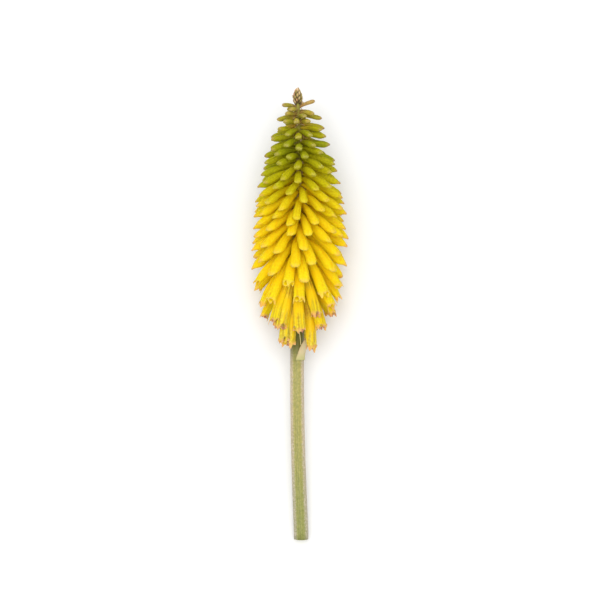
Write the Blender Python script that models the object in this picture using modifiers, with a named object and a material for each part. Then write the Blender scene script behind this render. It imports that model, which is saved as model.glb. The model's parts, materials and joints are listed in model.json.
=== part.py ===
"""Red hot poker flower: one cut flower spike, lying on a table.

The flower is built standing, in its own frame: +Z runs up the stem from the cut end, +X is to
the right and -Y faces the viewer. An empty then lays it down: its tip points to +Y, its front
faces up, and it rests on the florets under its widest part and on the stem's cut end.
A place along the flower is given as its depth, the distance below the tip.
"""

import math
import random

import bmesh
import bpy
import numpy as np
from mathutils import Matrix, Vector

# Lengths along the flower, from its tip
FLOWER_LENGTH = 0.2712
TUFT_DEPTH = 0.0100
FIRST_BUD_DEPTH = 0.0112
COLOUR_CHANGE_DEPTH = 0.0530
LAST_FLORET_DEPTH = 0.1215
HEAD_BASE_DEPTH = 0.1320

# The outline that the floret tips reach
HEAD_HALF_WIDTH = 0.0282
WIDEST_DEPTH = 0.0920
LOWEST_TIP_DEPTH = 0.1600
SHOULDER_HALF_WIDTH = 0.0060
UPPER_ROUNDNESS = 1.7
LOWER_ROUNDNESS = 2.3
LOWER_DRAW_IN = 0.68

# The stem and the rachis, which is the stem's slim continuation inside the head
STEM_CUT_RADIUS = 0.0044
STEM_TOP_RADIUS = 0.0041
RACHIS_TOP_RADIUS = 0.0011
RACHIS_TAPER = 0.8
STEM_SIDES, STEM_STEPS = 20, 12
RACHIS_SIDES, RACHIS_STEPS = 10, 5
SWAY = ((0.0, 0.0015), (0.054, -0.0004), (0.100, -0.0010), (0.144, -0.0006),
        (0.180, 0.0002), (0.235, 0.0003), (0.2712, -0.0009))

# The spiral that the florets follow: the turn from one to the next, and the rise between them at a depth
START_TURN = math.radians(73.6)
DIVERGENCE = math.radians(137.78)
RISE = ((0.0115, 0.000782), (0.018, 0.000415), (0.028, 0.000482), (0.045, 0.000453), (0.068, 0.00045),
        (0.098, 0.000616), (0.1225, 0.00127))

# The buds that never grew, by their number in the spiral
UNGROWN = (6, 15, 18, 19, 25, 27, 41, 202, 206, 207)

# The ends that the photograph shows best: how far each lies to the right of the middle, and its depth
SEEN_ENDS = (
    (-0.0095, 0.0117), (0.0102, 0.0084), (-0.0046, 0.0153), (-0.0127, 0.0207), (0.0141, 0.0193),
    (0.0093, 0.0176), (-0.0013, 0.0234), (0.0064, 0.0228), (-0.0086, 0.0226), (-0.0123, 0.0267),
    (0.0154, 0.0254), (0.0160, 0.0310), (0.0071, 0.0315), (-0.0072, 0.0312), (-0.0164, 0.0329),
    (-0.0003, 0.0330), (-0.0080, 0.0379), (0.0090, 0.0378), (0.0184, 0.0355), (-0.0002, 0.0399),
    (0.0039, 0.0450), (-0.0066, 0.0452), (-0.0125, 0.0485), (-0.0012, 0.0513), (0.0086, 0.0556),
    (-0.0098, 0.0583), (-0.0009, 0.0602), (0.0103, 0.0645), (-0.0063, 0.0672), (0.0028, 0.0720),
    (-0.0106, 0.0763), (-0.0018, 0.0819), (-0.0052, 0.0912), (0.0058, 0.0912), (0.0028, 0.0999),
    (-0.0022, 0.1095), (0.0079, 0.1080), (0.0030, 0.1182), (-0.0063, 0.1196), (0.0003, 0.1290),
    (0.0008, 0.1469), (-0.0077, 0.1530), (-0.0051, 0.1550), (0.0074, 0.1572), (-0.0102, 0.1449),
    (0.0200, 0.1373), (-0.0138, 0.1414), (-0.0164, 0.0398),
)

# The florets: how wide they are and how far they hang in degrees at a depth, and how much they vary
WIDTHS = ((0.0115, 0.0026), (0.020, 0.0033), (0.032, 0.0041), (0.060, 0.0050), (0.100, 0.0060), (0.1225, 0.0068))
SHORTEST_FLORET, LONGEST_FLORET = 0.003, 0.045
DROOP = ((0.011, -15.0), (0.016, 5.0), (0.032, 12.0), (0.044, 18.0), (0.060, 25.0), (0.078, 31.0),
         (0.090, 41.0), (0.100, 56.0), (0.110, 66.0), (0.123, 76.0))
ARCH = math.radians(26)
OPEN_FROM_DEPTH = 0.097
ROOT_SINK = 0.0010
ROOT_ROOM = 0.0010
SEED = 7
TURN_VARIES, DROOP_VARIES, LENGTH_VARIES = math.radians(2.5), math.radians(2.5), 0.035

# How the florets push each other aside
FELT_SHARES = (0.2, 0.4, 0.6, 0.8, 1.0)
SETTLING_PASSES = 14
SETTLING_STEP = 0.35

# A floret's outline: share of its length, share of its half width
BUD_PROFILE = ((0.0, 0.30), (0.32, 0.80), (0.84, 1.05), (1.0, 0.58))
OPEN_PROFILE = ((0.0, 0.26), (0.32, 0.76), (0.80, 1.03), (1.0, 1.10))
LOBE_LENGTH = 0.0016
LOBE_FLARE = 0.0006
MOUTH_DEPTH = 0.0030

# The tuft of unopened buds and bracts at the tip
TUFT_CORE_TOP = 0.0030
TUFT_CORE_RADII = ((0.0030, 0.0008), (0.0062, 0.0022), (0.0097, 0.0013))
TUFT_CORE_STEPS = 5
TUFT_SCALES = 28
TUFT_SCALE_LENGTH = 0.0040
TUFT_SCALE_SHORTENING = 0.25
TUFT_SCALE_HALF_WIDTH = 0.0010
TUFT_SCALE_PROFILE = ((0.0, 0.7), (0.5, 1.0), (1.0, 0.15))
TUFT_LEAN = math.radians(20)
TUFT_FOOT_SHARE = 0.8

# The papery sterile bract that clasps the stem below the head
BRACT_FOOT_DEPTH = 0.1638
BRACT_TURN = math.radians(-40)
BRACT_LENGTH = 0.0125
BRACT_HALF_ANGLE = math.radians(58)
BRACT_NARROWING, BRACT_POINTEDNESS = 0.92, 1.4
BRACT_STAND_OFF = 0.0012
BRACT_THICKNESS = 0.0006
BRACT_ACROSS, BRACT_ALONG = 6, 5

# How it lies, with its lowest florets pressed a little flat on the table
TILT = math.radians(7.5)
PRESSED = 0.0006
TABLE_BEND_STEP = math.radians(0.5)
TABLE_SIZE = (0.2, 0.4, 0.02)

# The gap between pieces that touch, the reach of the weld on loose caps, and the edges shaded smooth
CLEARANCE = 0.0003
WELD = 0.00001
SMOOTH_UP_TO = math.radians(35)

COLOURS = {
    "stem": (0.42, 0.43, 0.13),
    "bract": (0.62, 0.57, 0.28),
    "yellow": (0.90, 0.66, 0.02),
    "green": (0.36, 0.42, 0.03),
    "tuft": (0.40, 0.33, 0.12),
}


def through(points, at):
    """A smooth value at a place, from a curve through (place, value) pairs."""
    places = [place for place, _ in points]
    values = [value for _, value in points]
    if at <= places[0]:
        return values[0]
    if at >= places[-1]:
        return values[-1]
    k = max(i for i, place in enumerate(places) if place <= at)
    before, after = max(k - 1, 0), min(k + 2, len(points) - 1)
    span = places[k + 1] - places[k]
    start = (values[k + 1] - values[before]) / (places[k + 1] - places[before]) * span
    end = (values[after] - values[k]) / (places[after] - places[k]) * span
    t = (at - places[k]) / span
    rise = values[k + 1] - values[k]
    bend, ease = 3 * rise - 2 * start - end, start + end - 2 * rise
    return values[k] + start * t + bend * t**2 + ease * t**3


def linear(points, at):
    """A value at a place, along straight lines between (place, value) pairs."""
    places, values = zip(*points)
    return float(np.interp(at, places, values))


def axis_point(depth):
    """The middle of the stem or rachis at a depth below the tip."""
    height = FLOWER_LENGTH - depth
    return Vector((through(SWAY, height), 0.0, height))


def stem_radius(depth):
    """The stem's radius below the head, and the rachis's inside it."""
    if depth >= HEAD_BASE_DEPTH:
        share = (depth - HEAD_BASE_DEPTH) / (FLOWER_LENGTH - HEAD_BASE_DEPTH)
        return STEM_TOP_RADIUS + (STEM_CUT_RADIUS - STEM_TOP_RADIUS) * share
    share = (depth - TUFT_DEPTH) / (HEAD_BASE_DEPTH - TUFT_DEPTH)
    return RACHIS_TOP_RADIUS + (STEM_TOP_RADIUS - RACHIS_TOP_RADIUS) * max(share, 0.0) ** RACHIS_TAPER


def head_radius(depth):
    """The radius of the outline that the floret tips reach."""
    if depth < WIDEST_DEPTH:
        share = (WIDEST_DEPTH - depth) / WIDEST_DEPTH
        return SHOULDER_HALF_WIDTH + (HEAD_HALF_WIDTH - SHOULDER_HALF_WIDTH) * (1 - share**UPPER_ROUNDNESS)
    share = (depth - WIDEST_DEPTH) / (LOWEST_TIP_DEPTH - WIDEST_DEPTH)
    return HEAD_HALF_WIDTH * (1 - LOWER_DRAW_IN * share**LOWER_ROUNDNESS)


def lying_matrix():
    """Lays the standing flower down, with the low edge of its cut end on the table."""
    turned = Matrix.Rotation(TILT - math.pi / 2, 4, "X")
    lowest = STEM_CUT_RADIUS * math.cos(TILT)
    middle_y = -(FLOWER_LENGTH * math.cos(TILT) - STEM_CUT_RADIUS * math.sin(TILT)) / 2
    return Matrix.Translation((0, middle_y, lowest)) @ turned


LYING = lying_matrix()


def chord_end(root_radius, depth, length, droop):
    """(radius, depth) of a floret's tip."""
    return root_radius + length * math.cos(droop), depth + length * math.sin(droop)


def reach_outline(root_radius, depth, droop):
    """The length that brings a floret's tip to the head's outline."""
    low, high = SHORTEST_FLORET, LONGEST_FLORET
    for _ in range(30):
        middle = (low + high) / 2
        radius, tip_depth = chord_end(root_radius, depth, middle, droop)
        if radius < head_radius(tip_depth):
            low = middle
        else:
            high = middle
    return low


def outward(turn):
    return Vector((math.cos(turn), math.sin(turn), 0.0))


def floret_line(floret, shares):
    """Points of an arched floret in its own upright plane: +X is away from the rachis, +Z is up."""
    radius = floret["length"] / (2 * math.sin(ARCH / 2))
    first = floret["droop"] - ARCH / 2
    points = []
    for share in shares:
        angle = first + ARCH * share
        out = math.sin(angle) - math.sin(first)
        up = math.cos(angle) - math.cos(first)
        points.append(Vector((radius * out, 0.0, radius * up)))
    return points


def felt_spots(floret):
    """Places along a floret on the standing flower."""
    out = outward(floret["turn"])
    foot = axis_point(floret["depth"]) + out * floret["root_radius"]
    return [foot + out * point.x + Vector((0, 0, point.z)) for point in floret_line(floret, FELT_SHARES)]


def take_seen_ends(florets):
    """Turns and bends the florets nearest to the ends that the photograph shows, until theirs lie there."""
    free = list(florets)
    for across, depth in SEEN_ENDS:
        radius = max(head_radius(depth), abs(across))
        turn = -math.acos(across / radius)
        end = axis_point(depth) + outward(turn) * radius
        nearest = min(free, key=lambda floret: (felt_spots(floret)[-1] - end).length)
        free.remove(nearest)
        out, down = radius - nearest["root_radius"], depth - nearest["depth"]
        nearest.update(turn=turn, droop=math.atan2(down, out), length=math.hypot(out, down), is_seen=True)


def settle(florets):
    """Florets that would run into each other turn and bend aside, most of all at the colour change."""
    count, felt = len(florets), len(FELT_SHARES)
    mine, other = np.indices((count, count))
    is_green = np.array([floret["depth"] < COLOUR_CHANGE_DEPTH for floret in florets])
    room = np.where(is_green[:, None] != is_green[None], CLEARANCE, 0.0)
    widths = [[f["half_width"] * linear(f["profile"], share) for share in FELT_SHARES] for f in florets]
    widths = np.array(widths)
    touching = widths[:, None, :, None] + widths[None, :, None, :] + room[:, :, None, None]
    for _ in range(SETTLING_PASSES):
        spots = np.array([felt_spots(floret) for floret in florets])
        apart = spots[:, None, :, None] - spots[None, :, None, :]
        distance = np.linalg.norm(apart, axis=-1) + 1e-9
        press = np.clip(touching - distance, 0.0, None)
        press[np.arange(count), np.arange(count)] = 0.0
        worst = press.reshape(count, count, -1).argmax(-1)
        spot, its_spot = worst // felt, worst % felt
        strength = press[mine, other, spot, its_spot] / distance[mine, other, spot, its_spot]
        push = apart[mine, other, spot, its_spot] * strength[..., None]
        for index, floret in enumerate(florets):
            if floret["is_seen"]:
                continue
            aside = outward(floret["turn"] + math.pi / 2)
            share = np.array(FELT_SHARES)[spot[index]]
            from_axis = floret["root_radius"] + floret["length"] * math.cos(floret["droop"]) * share
            floret["turn"] += SETTLING_STEP * float((push[index] @ np.array(aside) / from_axis).sum())
            floret["droop"] -= SETTLING_STEP * float((push[index, :, 2] / (floret["length"] * share)).sum())


def height_over_table(radius, depth, turn):
    return (LYING @ (axis_point(depth) + outward(turn) * radius)).z


def clear_of_table(floret):
    """Bends a floret of the lower side down along the stem until its tip lies on the table."""
    tip_radius = floret["half_width"] * floret["profile"][-1][1]
    while floret["droop"] < math.pi / 2:
        radius, depth = chord_end(floret["root_radius"], floret["depth"], floret["length"], floret["droop"])
        room = tip_radius * math.sin(floret["droop"] + ARCH / 2) - PRESSED
        if height_over_table(radius, depth, floret["turn"]) >= room:
            return
        floret["droop"] += TABLE_BEND_STEP


def clear_of_colour_change(floret):
    """Moves a root away from the end of its stretch of rachis, and leaves the tip where it is."""
    natural = floret["depth"]
    if abs(natural - COLOUR_CHANGE_DEPTH) > ROOT_ROOM:
        return
    radius, tip_depth = chord_end(floret["root_radius"], natural, floret["length"], floret["droop"])
    floret["depth"] = COLOUR_CHANGE_DEPTH + math.copysign(ROOT_ROOM, natural - COLOUR_CHANGE_DEPTH)
    out, down = radius - floret["root_radius"], tip_depth - floret["depth"]
    floret["droop"], floret["length"] = math.atan2(down, out), math.hypot(out, down)


def floret_rule():
    """Every floret, from the tip down: a spiral of even turns, with the tips on the head's outline."""
    draw = random.Random(SEED)
    florets = []
    depth = FIRST_BUD_DEPTH
    number = -1
    while depth < LAST_FLORET_DEPTH:
        number += 1
        turn = START_TURN + number * DIVERGENCE + draw.uniform(-1, 1) * TURN_VARIES
        droop = math.radians(through(DROOP, depth)) + draw.uniform(-1, 1) * DROOP_VARIES
        root_radius = stem_radius(depth) - ROOT_SINK
        length = reach_outline(root_radius, depth, droop) * (1 + draw.uniform(-1, 1) * LENGTH_VARIES)
        profile = OPEN_PROFILE if depth > OPEN_FROM_DEPTH else BUD_PROFILE
        floret = {"depth": depth, "turn": turn, "droop": droop, "root_radius": root_radius, "length": length,
                  "half_width": linear(WIDTHS, depth) / 2, "profile": profile, "is_seen": False}
        clear_of_colour_change(floret)
        if number not in UNGROWN:
            florets.append(floret)
        depth += through(RISE, depth)
    take_seen_ends(florets)
    settle(florets)
    for floret in florets:
        clear_of_table(floret)
    return florets


def clear_scene():
    for item in list(bpy.data.objects):
        bpy.data.objects.remove(item)


def new_collection(name):
    collection = bpy.data.collections.new(name)
    bpy.context.scene.collection.children.link(collection)
    return collection


def plain_material(name, roughness=0.5):
    material = bpy.data.materials.new(name)
    material.use_nodes = True
    shader = material.node_tree.nodes["Principled BSDF"]
    shader.inputs["Base Color"].default_value = (*COLOURS[name], 1.0)
    shader.inputs["Roughness"].default_value = roughness
    shader.inputs["Metallic"].default_value = 0.0
    return material


def tube_curve(name, points, radii, resolution, collection):
    """A tube with filled caps along straight pieces; a resolution of 1 makes it six-sided."""
    curve = bpy.data.curves.new(name, "CURVE")
    curve.dimensions = "3D"
    curve.bevel_depth = 1.0
    curve.bevel_resolution = resolution
    curve.use_fill_caps = True
    spline = curve.splines.new("POLY")
    spline.points.add(len(points) - 1)
    for spot, point, radius in zip(spline.points, points, radii):
        spot.co = (*point, 1.0)
        spot.radius = radius
    made = bpy.data.objects.new(name, curve)
    collection.objects.link(made)
    return made


def curve_to_mesh(made, collection):
    """Replaces a curve object by a mesh object with its caps welded on."""
    bpy.context.view_layer.update()
    evaluated = made.evaluated_get(bpy.context.evaluated_depsgraph_get())
    mesh = bpy.data.meshes.new_from_object(evaluated)
    shape = bmesh.new()
    shape.from_mesh(mesh)
    bmesh.ops.remove_doubles(shape, verts=shape.verts, dist=WELD)
    bmesh.ops.recalc_face_normals(shape, faces=shape.faces)
    shape.to_mesh(mesh)
    shape.free()
    name, place = made.name, made.matrix_world.copy()
    bpy.data.objects.remove(made)
    solid = bpy.data.objects.new(name, mesh)
    solid.matrix_world = place
    collection.objects.link(solid)
    return solid


def open_mouth(solid, end):
    """Turns the flat end of a floret into a cup with six pointed lobes."""
    shape = bmesh.new()
    shape.from_mesh(solid.data)
    triangles = [face for face in shape.faces if len(face.verts) == 3]
    near = [face for face in triangles if (face.calc_center_median() - end).length < LOBE_LENGTH * 2]
    cap = bmesh.ops.dissolve_faces(shape, faces=near)["region"][0]
    centre, ahead = cap.calc_center_median(), cap.normal.copy()
    for corner in cap.verts:
        corner.co += ahead * LOBE_LENGTH + (corner.co - centre).normalized() * LOBE_FLARE
    for edge in list(cap.edges):
        _, notch = bmesh.utils.edge_split(edge, edge.verts[0], 0.5)
        notch.co -= ahead * LOBE_LENGTH
    middle = bmesh.ops.poke(shape, faces=[cap])["verts"][0]
    middle.co = centre - ahead * MOUTH_DEPTH
    bmesh.ops.triangulate(shape, faces=shape.faces)
    shape.to_mesh(solid.data)
    shape.free()


def floret_solid(number, floret, collection):
    """One floret, sunk by its root into the rachis."""
    line = floret_line(floret, [place for place, _ in floret["profile"]])
    radii = [floret["half_width"] * share for _, share in floret["profile"]]
    made = tube_curve(f"floret_{number}", line, radii, 1, collection)
    made.location = axis_point(floret["depth"]) + outward(floret["turn"]) * floret["root_radius"]
    made.rotation_euler.z = floret["turn"]
    solid = curve_to_mesh(made, collection)
    if floret["profile"] == OPEN_PROFILE:
        open_mouth(solid, line[-1])
    return solid


def axis_tube(name, top, bottom, steps, sides, collection):
    """The stem or a stretch of the rachis between two depths."""
    depths = [top + (bottom - top) * k / steps for k in range(steps + 1)]
    made = tube_curve(name, [axis_point(d) for d in depths], [stem_radius(d) for d in depths],
                      (sides - 4) // 2, collection)
    return curve_to_mesh(made, collection)


def fuse(body, pieces, collection):
    """Joins the pieces and the body in one closed solid, and removes the pieces."""
    join = body.modifiers.new("grown_together", "BOOLEAN")
    join.operation = "UNION"
    join.operand_type = "COLLECTION"
    join.collection = collection
    join.solver = "MANIFOLD"
    apply_modifiers(body)
    for piece in pieces:
        bpy.data.objects.remove(piece)


def apply_modifiers(solid):
    bpy.context.view_layer.update()
    evaluated = solid.evaluated_get(bpy.context.evaluated_depsgraph_get())
    mesh = bpy.data.meshes.new_from_object(evaluated)
    solid.modifiers.clear()
    solid.data = mesh


def grow_stem(flower):
    return axis_tube("stem", HEAD_BASE_DEPTH + CLEARANCE, FLOWER_LENGTH, STEM_STEPS, STEM_SIDES, flower)


def grow_florets(name, florets, top, bottom, flower, joining):
    """A stretch of the rachis with the florets that grow on it."""
    rachis = axis_tube(name, top, bottom, RACHIS_STEPS, RACHIS_SIDES, flower)
    pieces = [floret_solid(number, floret, joining) for number, floret in enumerate(florets)]
    fuse(rachis, pieces, joining)
    return rachis


def grow_tuft(flower, joining):
    """Small pointed scales that overlap upwards round the tip, in a spiral."""
    bottom = TUFT_DEPTH - CLEARANCE
    step = (bottom - TUFT_CORE_TOP) / TUFT_CORE_STEPS
    depths = [TUFT_CORE_TOP + step * k for k in range(TUFT_CORE_STEPS + 1)]
    radii = [through(TUFT_CORE_RADII, depth) for depth in depths]
    core = tube_curve("tip_tuft", [axis_point(depth) for depth in depths], radii, 2, flower)
    core = curve_to_mesh(core, flower)
    pieces = []
    for count in range(TUFT_SCALES):
        share = count / (TUFT_SCALES - 1)
        length = TUFT_SCALE_LENGTH * (1 - TUFT_SCALE_SHORTENING * share)
        foot = length + (bottom - TUFT_SCALE_HALF_WIDTH - length) * share
        lean = TUFT_LEAN * share
        along = Vector((math.sin(lean), 0, math.cos(lean))) * length
        line = [along * place for place, _ in TUFT_SCALE_PROFILE]
        radii = [TUFT_SCALE_HALF_WIDTH * width for _, width in TUFT_SCALE_PROFILE]
        scale = tube_curve(f"scale_{count}", line, radii, 0, joining)
        turn = count * DIVERGENCE
        from_axis = through(TUFT_CORE_RADII, foot) * TUFT_FOOT_SHARE * share
        scale.location = axis_point(foot) + outward(turn) * from_axis
        scale.rotation_euler.z = turn
        pieces.append(curve_to_mesh(scale, joining))
    fuse(core, pieces, joining)
    return core


def grow_bract(flower):
    """The papery pointed bract, which stands a little off the stem towards its point."""
    shape = bmesh.new()
    rows = []
    for row in range(BRACT_ALONG + 1):
        share = row / BRACT_ALONG
        depth = BRACT_FOOT_DEPTH - BRACT_LENGTH * share
        half_angle = BRACT_HALF_ANGLE * (1 - BRACT_NARROWING * share**BRACT_POINTEDNESS)
        from_axis = stem_radius(depth) + CLEARANCE + BRACT_STAND_OFF * share**2
        turns = [BRACT_TURN + half_angle * (2 * k / BRACT_ACROSS - 1) for k in range(BRACT_ACROSS + 1)]
        rows.append([shape.verts.new(axis_point(depth) + outward(turn) * from_axis) for turn in turns])
    for low, high in zip(rows, rows[1:]):
        for k in range(BRACT_ACROSS):
            shape.faces.new((low[k], low[k + 1], high[k + 1], high[k]))
    mesh = bpy.data.meshes.new("stem_bract")
    shape.to_mesh(mesh)
    shape.free()
    bract = bpy.data.objects.new("stem_bract", mesh)
    flower.objects.link(bract)
    wall = bract.modifiers.new("thickness", "SOLIDIFY")
    wall.thickness = BRACT_THICKNESS
    wall.offset = 1.0
    return bract


def lay_down(flower):
    """Hangs every part on one empty, and turns that so the flower lies on the table."""
    pose = bpy.data.objects.new("lying_pose", None)
    flower.objects.link(pose)
    pose.matrix_world = LYING
    for part in flower.objects:
        if part != pose:
            part.parent = pose


def press_flat(head, cutters):
    """Flattens the florets that rest on the table, by the little that the head's weight presses them."""
    bpy.ops.mesh.primitive_cube_add(size=1.0, location=(0, 0, -TABLE_SIZE[2] / 2), scale=TABLE_SIZE)
    table = bpy.context.object
    table.name = "table_cutter"
    for collection in list(table.users_collection):
        collection.objects.unlink(table)
    cutters.objects.link(table)
    table.hide_render = True
    table.display_type = "WIRE"
    cut = head.modifiers.new("pressed_flat", "BOOLEAN")
    cut.operation = "DIFFERENCE"
    cut.object = table
    cut.solver = "MANIFOLD"


def finish(part, material):
    part.data.materials.clear()
    part.data.materials.append(plain_material(material))
    part.data.shade_smooth()
    part.data.set_sharp_from_angle(angle=SMOOTH_UP_TO)


def build():
    clear_scene()
    flower = new_collection("red_hot_poker_flower")
    joining = new_collection("joining")
    cutters = new_collection("cutters")
    florets = floret_rule()
    green = [f for f in florets if f["depth"] < COLOUR_CHANGE_DEPTH]
    yellow = [f for f in florets if f["depth"] >= COLOUR_CHANGE_DEPTH]
    stem = grow_stem(flower)
    buds = grow_florets("green_buds", green, TUFT_DEPTH, COLOUR_CHANGE_DEPTH - CLEARANCE / 2, flower, joining)
    head = grow_florets("yellow_florets", yellow, COLOUR_CHANGE_DEPTH + CLEARANCE / 2, HEAD_BASE_DEPTH,
                        flower, joining)
    tuft = grow_tuft(flower, joining)
    bract = grow_bract(flower)
    lay_down(flower)
    press_flat(head, cutters)
    finish(stem, "stem")
    finish(buds, "green")
    finish(head, "yellow")
    finish(tuft, "tuft")
    finish(bract, "bract")


build()
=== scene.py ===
"""Red hot poker flower: the looks of one cut flower spike that lies on a table.

Every piece is modelled standing, in the flower's own frame: +Z runs up the stem from the cut end,
+X is to the right and -Y faces the viewer. LYING then lays it down where the frame's solids lie.
A place along the flower is given as its depth, the distance below the tip.
"""

import json
import math
import random

import bmesh
import bpy
import numpy as np
from bpy.props import FloatProperty, FloatVectorProperty, PointerProperty
from mathutils import Matrix, Vector

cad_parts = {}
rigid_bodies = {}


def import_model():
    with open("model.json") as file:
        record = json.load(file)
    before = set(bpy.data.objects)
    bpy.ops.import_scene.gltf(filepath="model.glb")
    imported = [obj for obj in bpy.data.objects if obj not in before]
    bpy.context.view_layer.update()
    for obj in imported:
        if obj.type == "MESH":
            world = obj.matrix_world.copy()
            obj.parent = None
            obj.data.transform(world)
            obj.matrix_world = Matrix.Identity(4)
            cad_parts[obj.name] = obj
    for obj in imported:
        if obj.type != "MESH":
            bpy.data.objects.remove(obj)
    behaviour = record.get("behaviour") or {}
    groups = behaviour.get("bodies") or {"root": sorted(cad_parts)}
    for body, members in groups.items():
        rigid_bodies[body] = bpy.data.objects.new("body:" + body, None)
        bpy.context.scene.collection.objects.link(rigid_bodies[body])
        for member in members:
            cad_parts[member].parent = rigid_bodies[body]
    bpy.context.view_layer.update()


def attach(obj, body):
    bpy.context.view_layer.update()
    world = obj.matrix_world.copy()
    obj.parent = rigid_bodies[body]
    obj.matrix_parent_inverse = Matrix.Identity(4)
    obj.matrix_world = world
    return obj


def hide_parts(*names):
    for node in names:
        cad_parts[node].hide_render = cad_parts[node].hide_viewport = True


bl_info = {
    "name": "Red hot poker flower",
    "version": (1, 0, 0),
    "blender": (4, 5, 0),
    "location": "View3D > Sidebar > Flower",
    "description": "Dresses a lying flower spike with its florets, stamens, bracts, tip tuft and stem",
    "category": "Add Mesh",
}

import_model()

# Lengths along the flower, from its tip
FLOWER_LENGTH = 0.2712
TUFT_DEPTH = 0.0100
FIRST_BUD_DEPTH = 0.0112
COLOUR_CHANGE_DEPTH = 0.0530
LAST_FLORET_DEPTH = 0.1215
HEAD_BASE_DEPTH = 0.1320

# The outline that the floret tips reach
HEAD_HALF_WIDTH = 0.0282
WIDEST_DEPTH = 0.0920
LOWEST_TIP_DEPTH = 0.1600
SHOULDER_HALF_WIDTH = 0.0060
UPPER_ROUNDNESS = 1.7
LOWER_ROUNDNESS = 2.3
LOWER_DRAW_IN = 0.68

# The stem and the rachis, which is the stem's slim continuation inside the head
STEM_CUT_RADIUS = 0.0044
STEM_TOP_RADIUS = 0.0041
RACHIS_TOP_RADIUS = 0.0011
RACHIS_TAPER = 0.8
SWAY = ((0.0, 0.0015), (0.054, -0.0004), (0.100, -0.0010), (0.144, -0.0006),
        (0.180, 0.0002), (0.235, 0.0003), (0.2712, -0.0009))

# The spiral that the florets follow: the turn from one to the next, and the rise between them at a depth
START_TURN = math.radians(73.6)
DIVERGENCE = math.radians(137.78)
RISE = ((0.0115, 0.000782), (0.018, 0.000415), (0.028, 0.000482), (0.045, 0.000453), (0.068, 0.00045),
        (0.098, 0.000616), (0.1225, 0.00127))

# The buds that never grew, by their number in the spiral
UNGROWN = (6, 15, 18, 19, 25, 27, 41, 202, 206, 207)

# The ends that the photograph shows best: how far each lies to the right of the middle, and its depth
SEEN_ENDS = (
    (-0.0095, 0.0117), (0.0102, 0.0084), (-0.0046, 0.0153), (-0.0127, 0.0207), (0.0141, 0.0193),
    (0.0093, 0.0176), (-0.0013, 0.0234), (0.0064, 0.0228), (-0.0086, 0.0226), (-0.0123, 0.0267),
    (0.0154, 0.0254), (0.0160, 0.0310), (0.0071, 0.0315), (-0.0072, 0.0312), (-0.0164, 0.0329),
    (-0.0003, 0.0330), (-0.0080, 0.0379), (0.0090, 0.0378), (0.0184, 0.0355), (-0.0002, 0.0399),
    (0.0039, 0.0450), (-0.0066, 0.0452), (-0.0125, 0.0485), (-0.0012, 0.0513), (0.0086, 0.0556),
    (-0.0098, 0.0583), (-0.0009, 0.0602), (0.0103, 0.0645), (-0.0063, 0.0672), (0.0028, 0.0720),
    (-0.0106, 0.0763), (-0.0018, 0.0819), (-0.0052, 0.0912), (0.0058, 0.0912), (0.0028, 0.0999),
    (-0.0022, 0.1095), (0.0079, 0.1080), (0.0030, 0.1182), (-0.0063, 0.1196), (0.0003, 0.1290),
    (0.0008, 0.1469), (-0.0077, 0.1530), (-0.0051, 0.1550), (0.0074, 0.1572), (-0.0102, 0.1449),
    (0.0200, 0.1373), (-0.0138, 0.1414), (-0.0164, 0.0398),
)

# The florets: how wide they are and how far they hang in degrees at a depth, and how much they vary
WIDTHS = ((0.0115, 0.0026), (0.020, 0.0033), (0.032, 0.0041), (0.060, 0.0050), (0.100, 0.0060),
          (0.1225, 0.0068))
SHORTEST_FLORET, LONGEST_FLORET = 0.003, 0.045
DROOP = ((0.011, -15.0), (0.016, 5.0), (0.032, 12.0), (0.044, 18.0), (0.060, 25.0), (0.078, 31.0),
         (0.090, 41.0), (0.100, 56.0), (0.110, 66.0), (0.123, 76.0))
ARCH = math.radians(26)
OPEN_FROM_DEPTH = 0.097
ROOT_SINK = 0.0010
ROOT_ROOM = 0.0010
SEED = 7
TURN_VARIES, DROOP_VARIES, LENGTH_VARIES = math.radians(2.5), math.radians(2.5), 0.035

# How the florets push each other aside, and the outlines that they feel each other with
FELT_SHARES = (0.2, 0.4, 0.6, 0.8, 1.0)
SETTLING_PASSES = 14
SETTLING_STEP = 0.35
CLEARANCE = 0.0003
BUD_PROFILE = ((0.0, 0.30), (0.32, 0.80), (0.84, 1.05), (1.0, 0.58))
OPEN_PROFILE = ((0.0, 0.26), (0.32, 0.76), (0.80, 1.03), (1.0, 1.10))

# How it lies, with its lowest florets pressed a little flat on the table
TILT = math.radians(7.5)
PRESSED = 0.0006
TABLE_BEND_STEP = math.radians(0.5)

# The tuft of the youngest scales at the tip, and the core that they clasp, painted near black as the shade
# between them
TUFT_CORE_TOP = 0.0030
TUFT_CORE_SHARE = 0.6
TUFT_CORE_SIDES, TUFT_CORE_RINGS = 10, 5
TUFT_OUTLINE = ((0.0, 0.0001), (0.0018, 0.0013), (0.0042, 0.0027), (0.0060, 0.0035), (0.0078, 0.0034),
                (0.0102, 0.0022), (0.0125, 0.0015))
TUFT_SCALES = 36
TUFT_SCALE_LENGTH = 0.0044
TUFT_SCALE_SHORTENING = 0.25
TUFT_LAST_TIP_DEPTH = 0.0080
TUFT_TIP_SPACING = 0.8
TUFT_FOOT_SHARE = 0.55
TUFT_SCALE_OVERLAP = 0.95
TUFT_SCALE_CLASP, TUFT_SCALE_LEAN = -0.5, 0.25
TUFT_SCALE_SIDES = 8
TUFT_SCALE_THICKNESS = 0.62
TUFT_LENGTH_RANGE, TUFT_RADIUS_RANGE = (0.92, 1.06), (0.88, 1.12)

# The papery bract that clasps the stem below the head
BRACT_FOOT_DEPTH = 0.1638
BRACT_TURN = math.radians(-40)
BRACT_LENGTH = 0.0125
BRACT_HALF_ANGLE = math.radians(58)
BRACT_NARROWING, BRACT_POINTEDNESS = 0.92, 1.4
BRACT_STAND_OFF = 0.0012
BRACT_CURL = 0.0008
BRACT_RAGGEDNESS = 0.05
BRACT_COLUMNS, BRACT_ROWS = 14, 12

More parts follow.
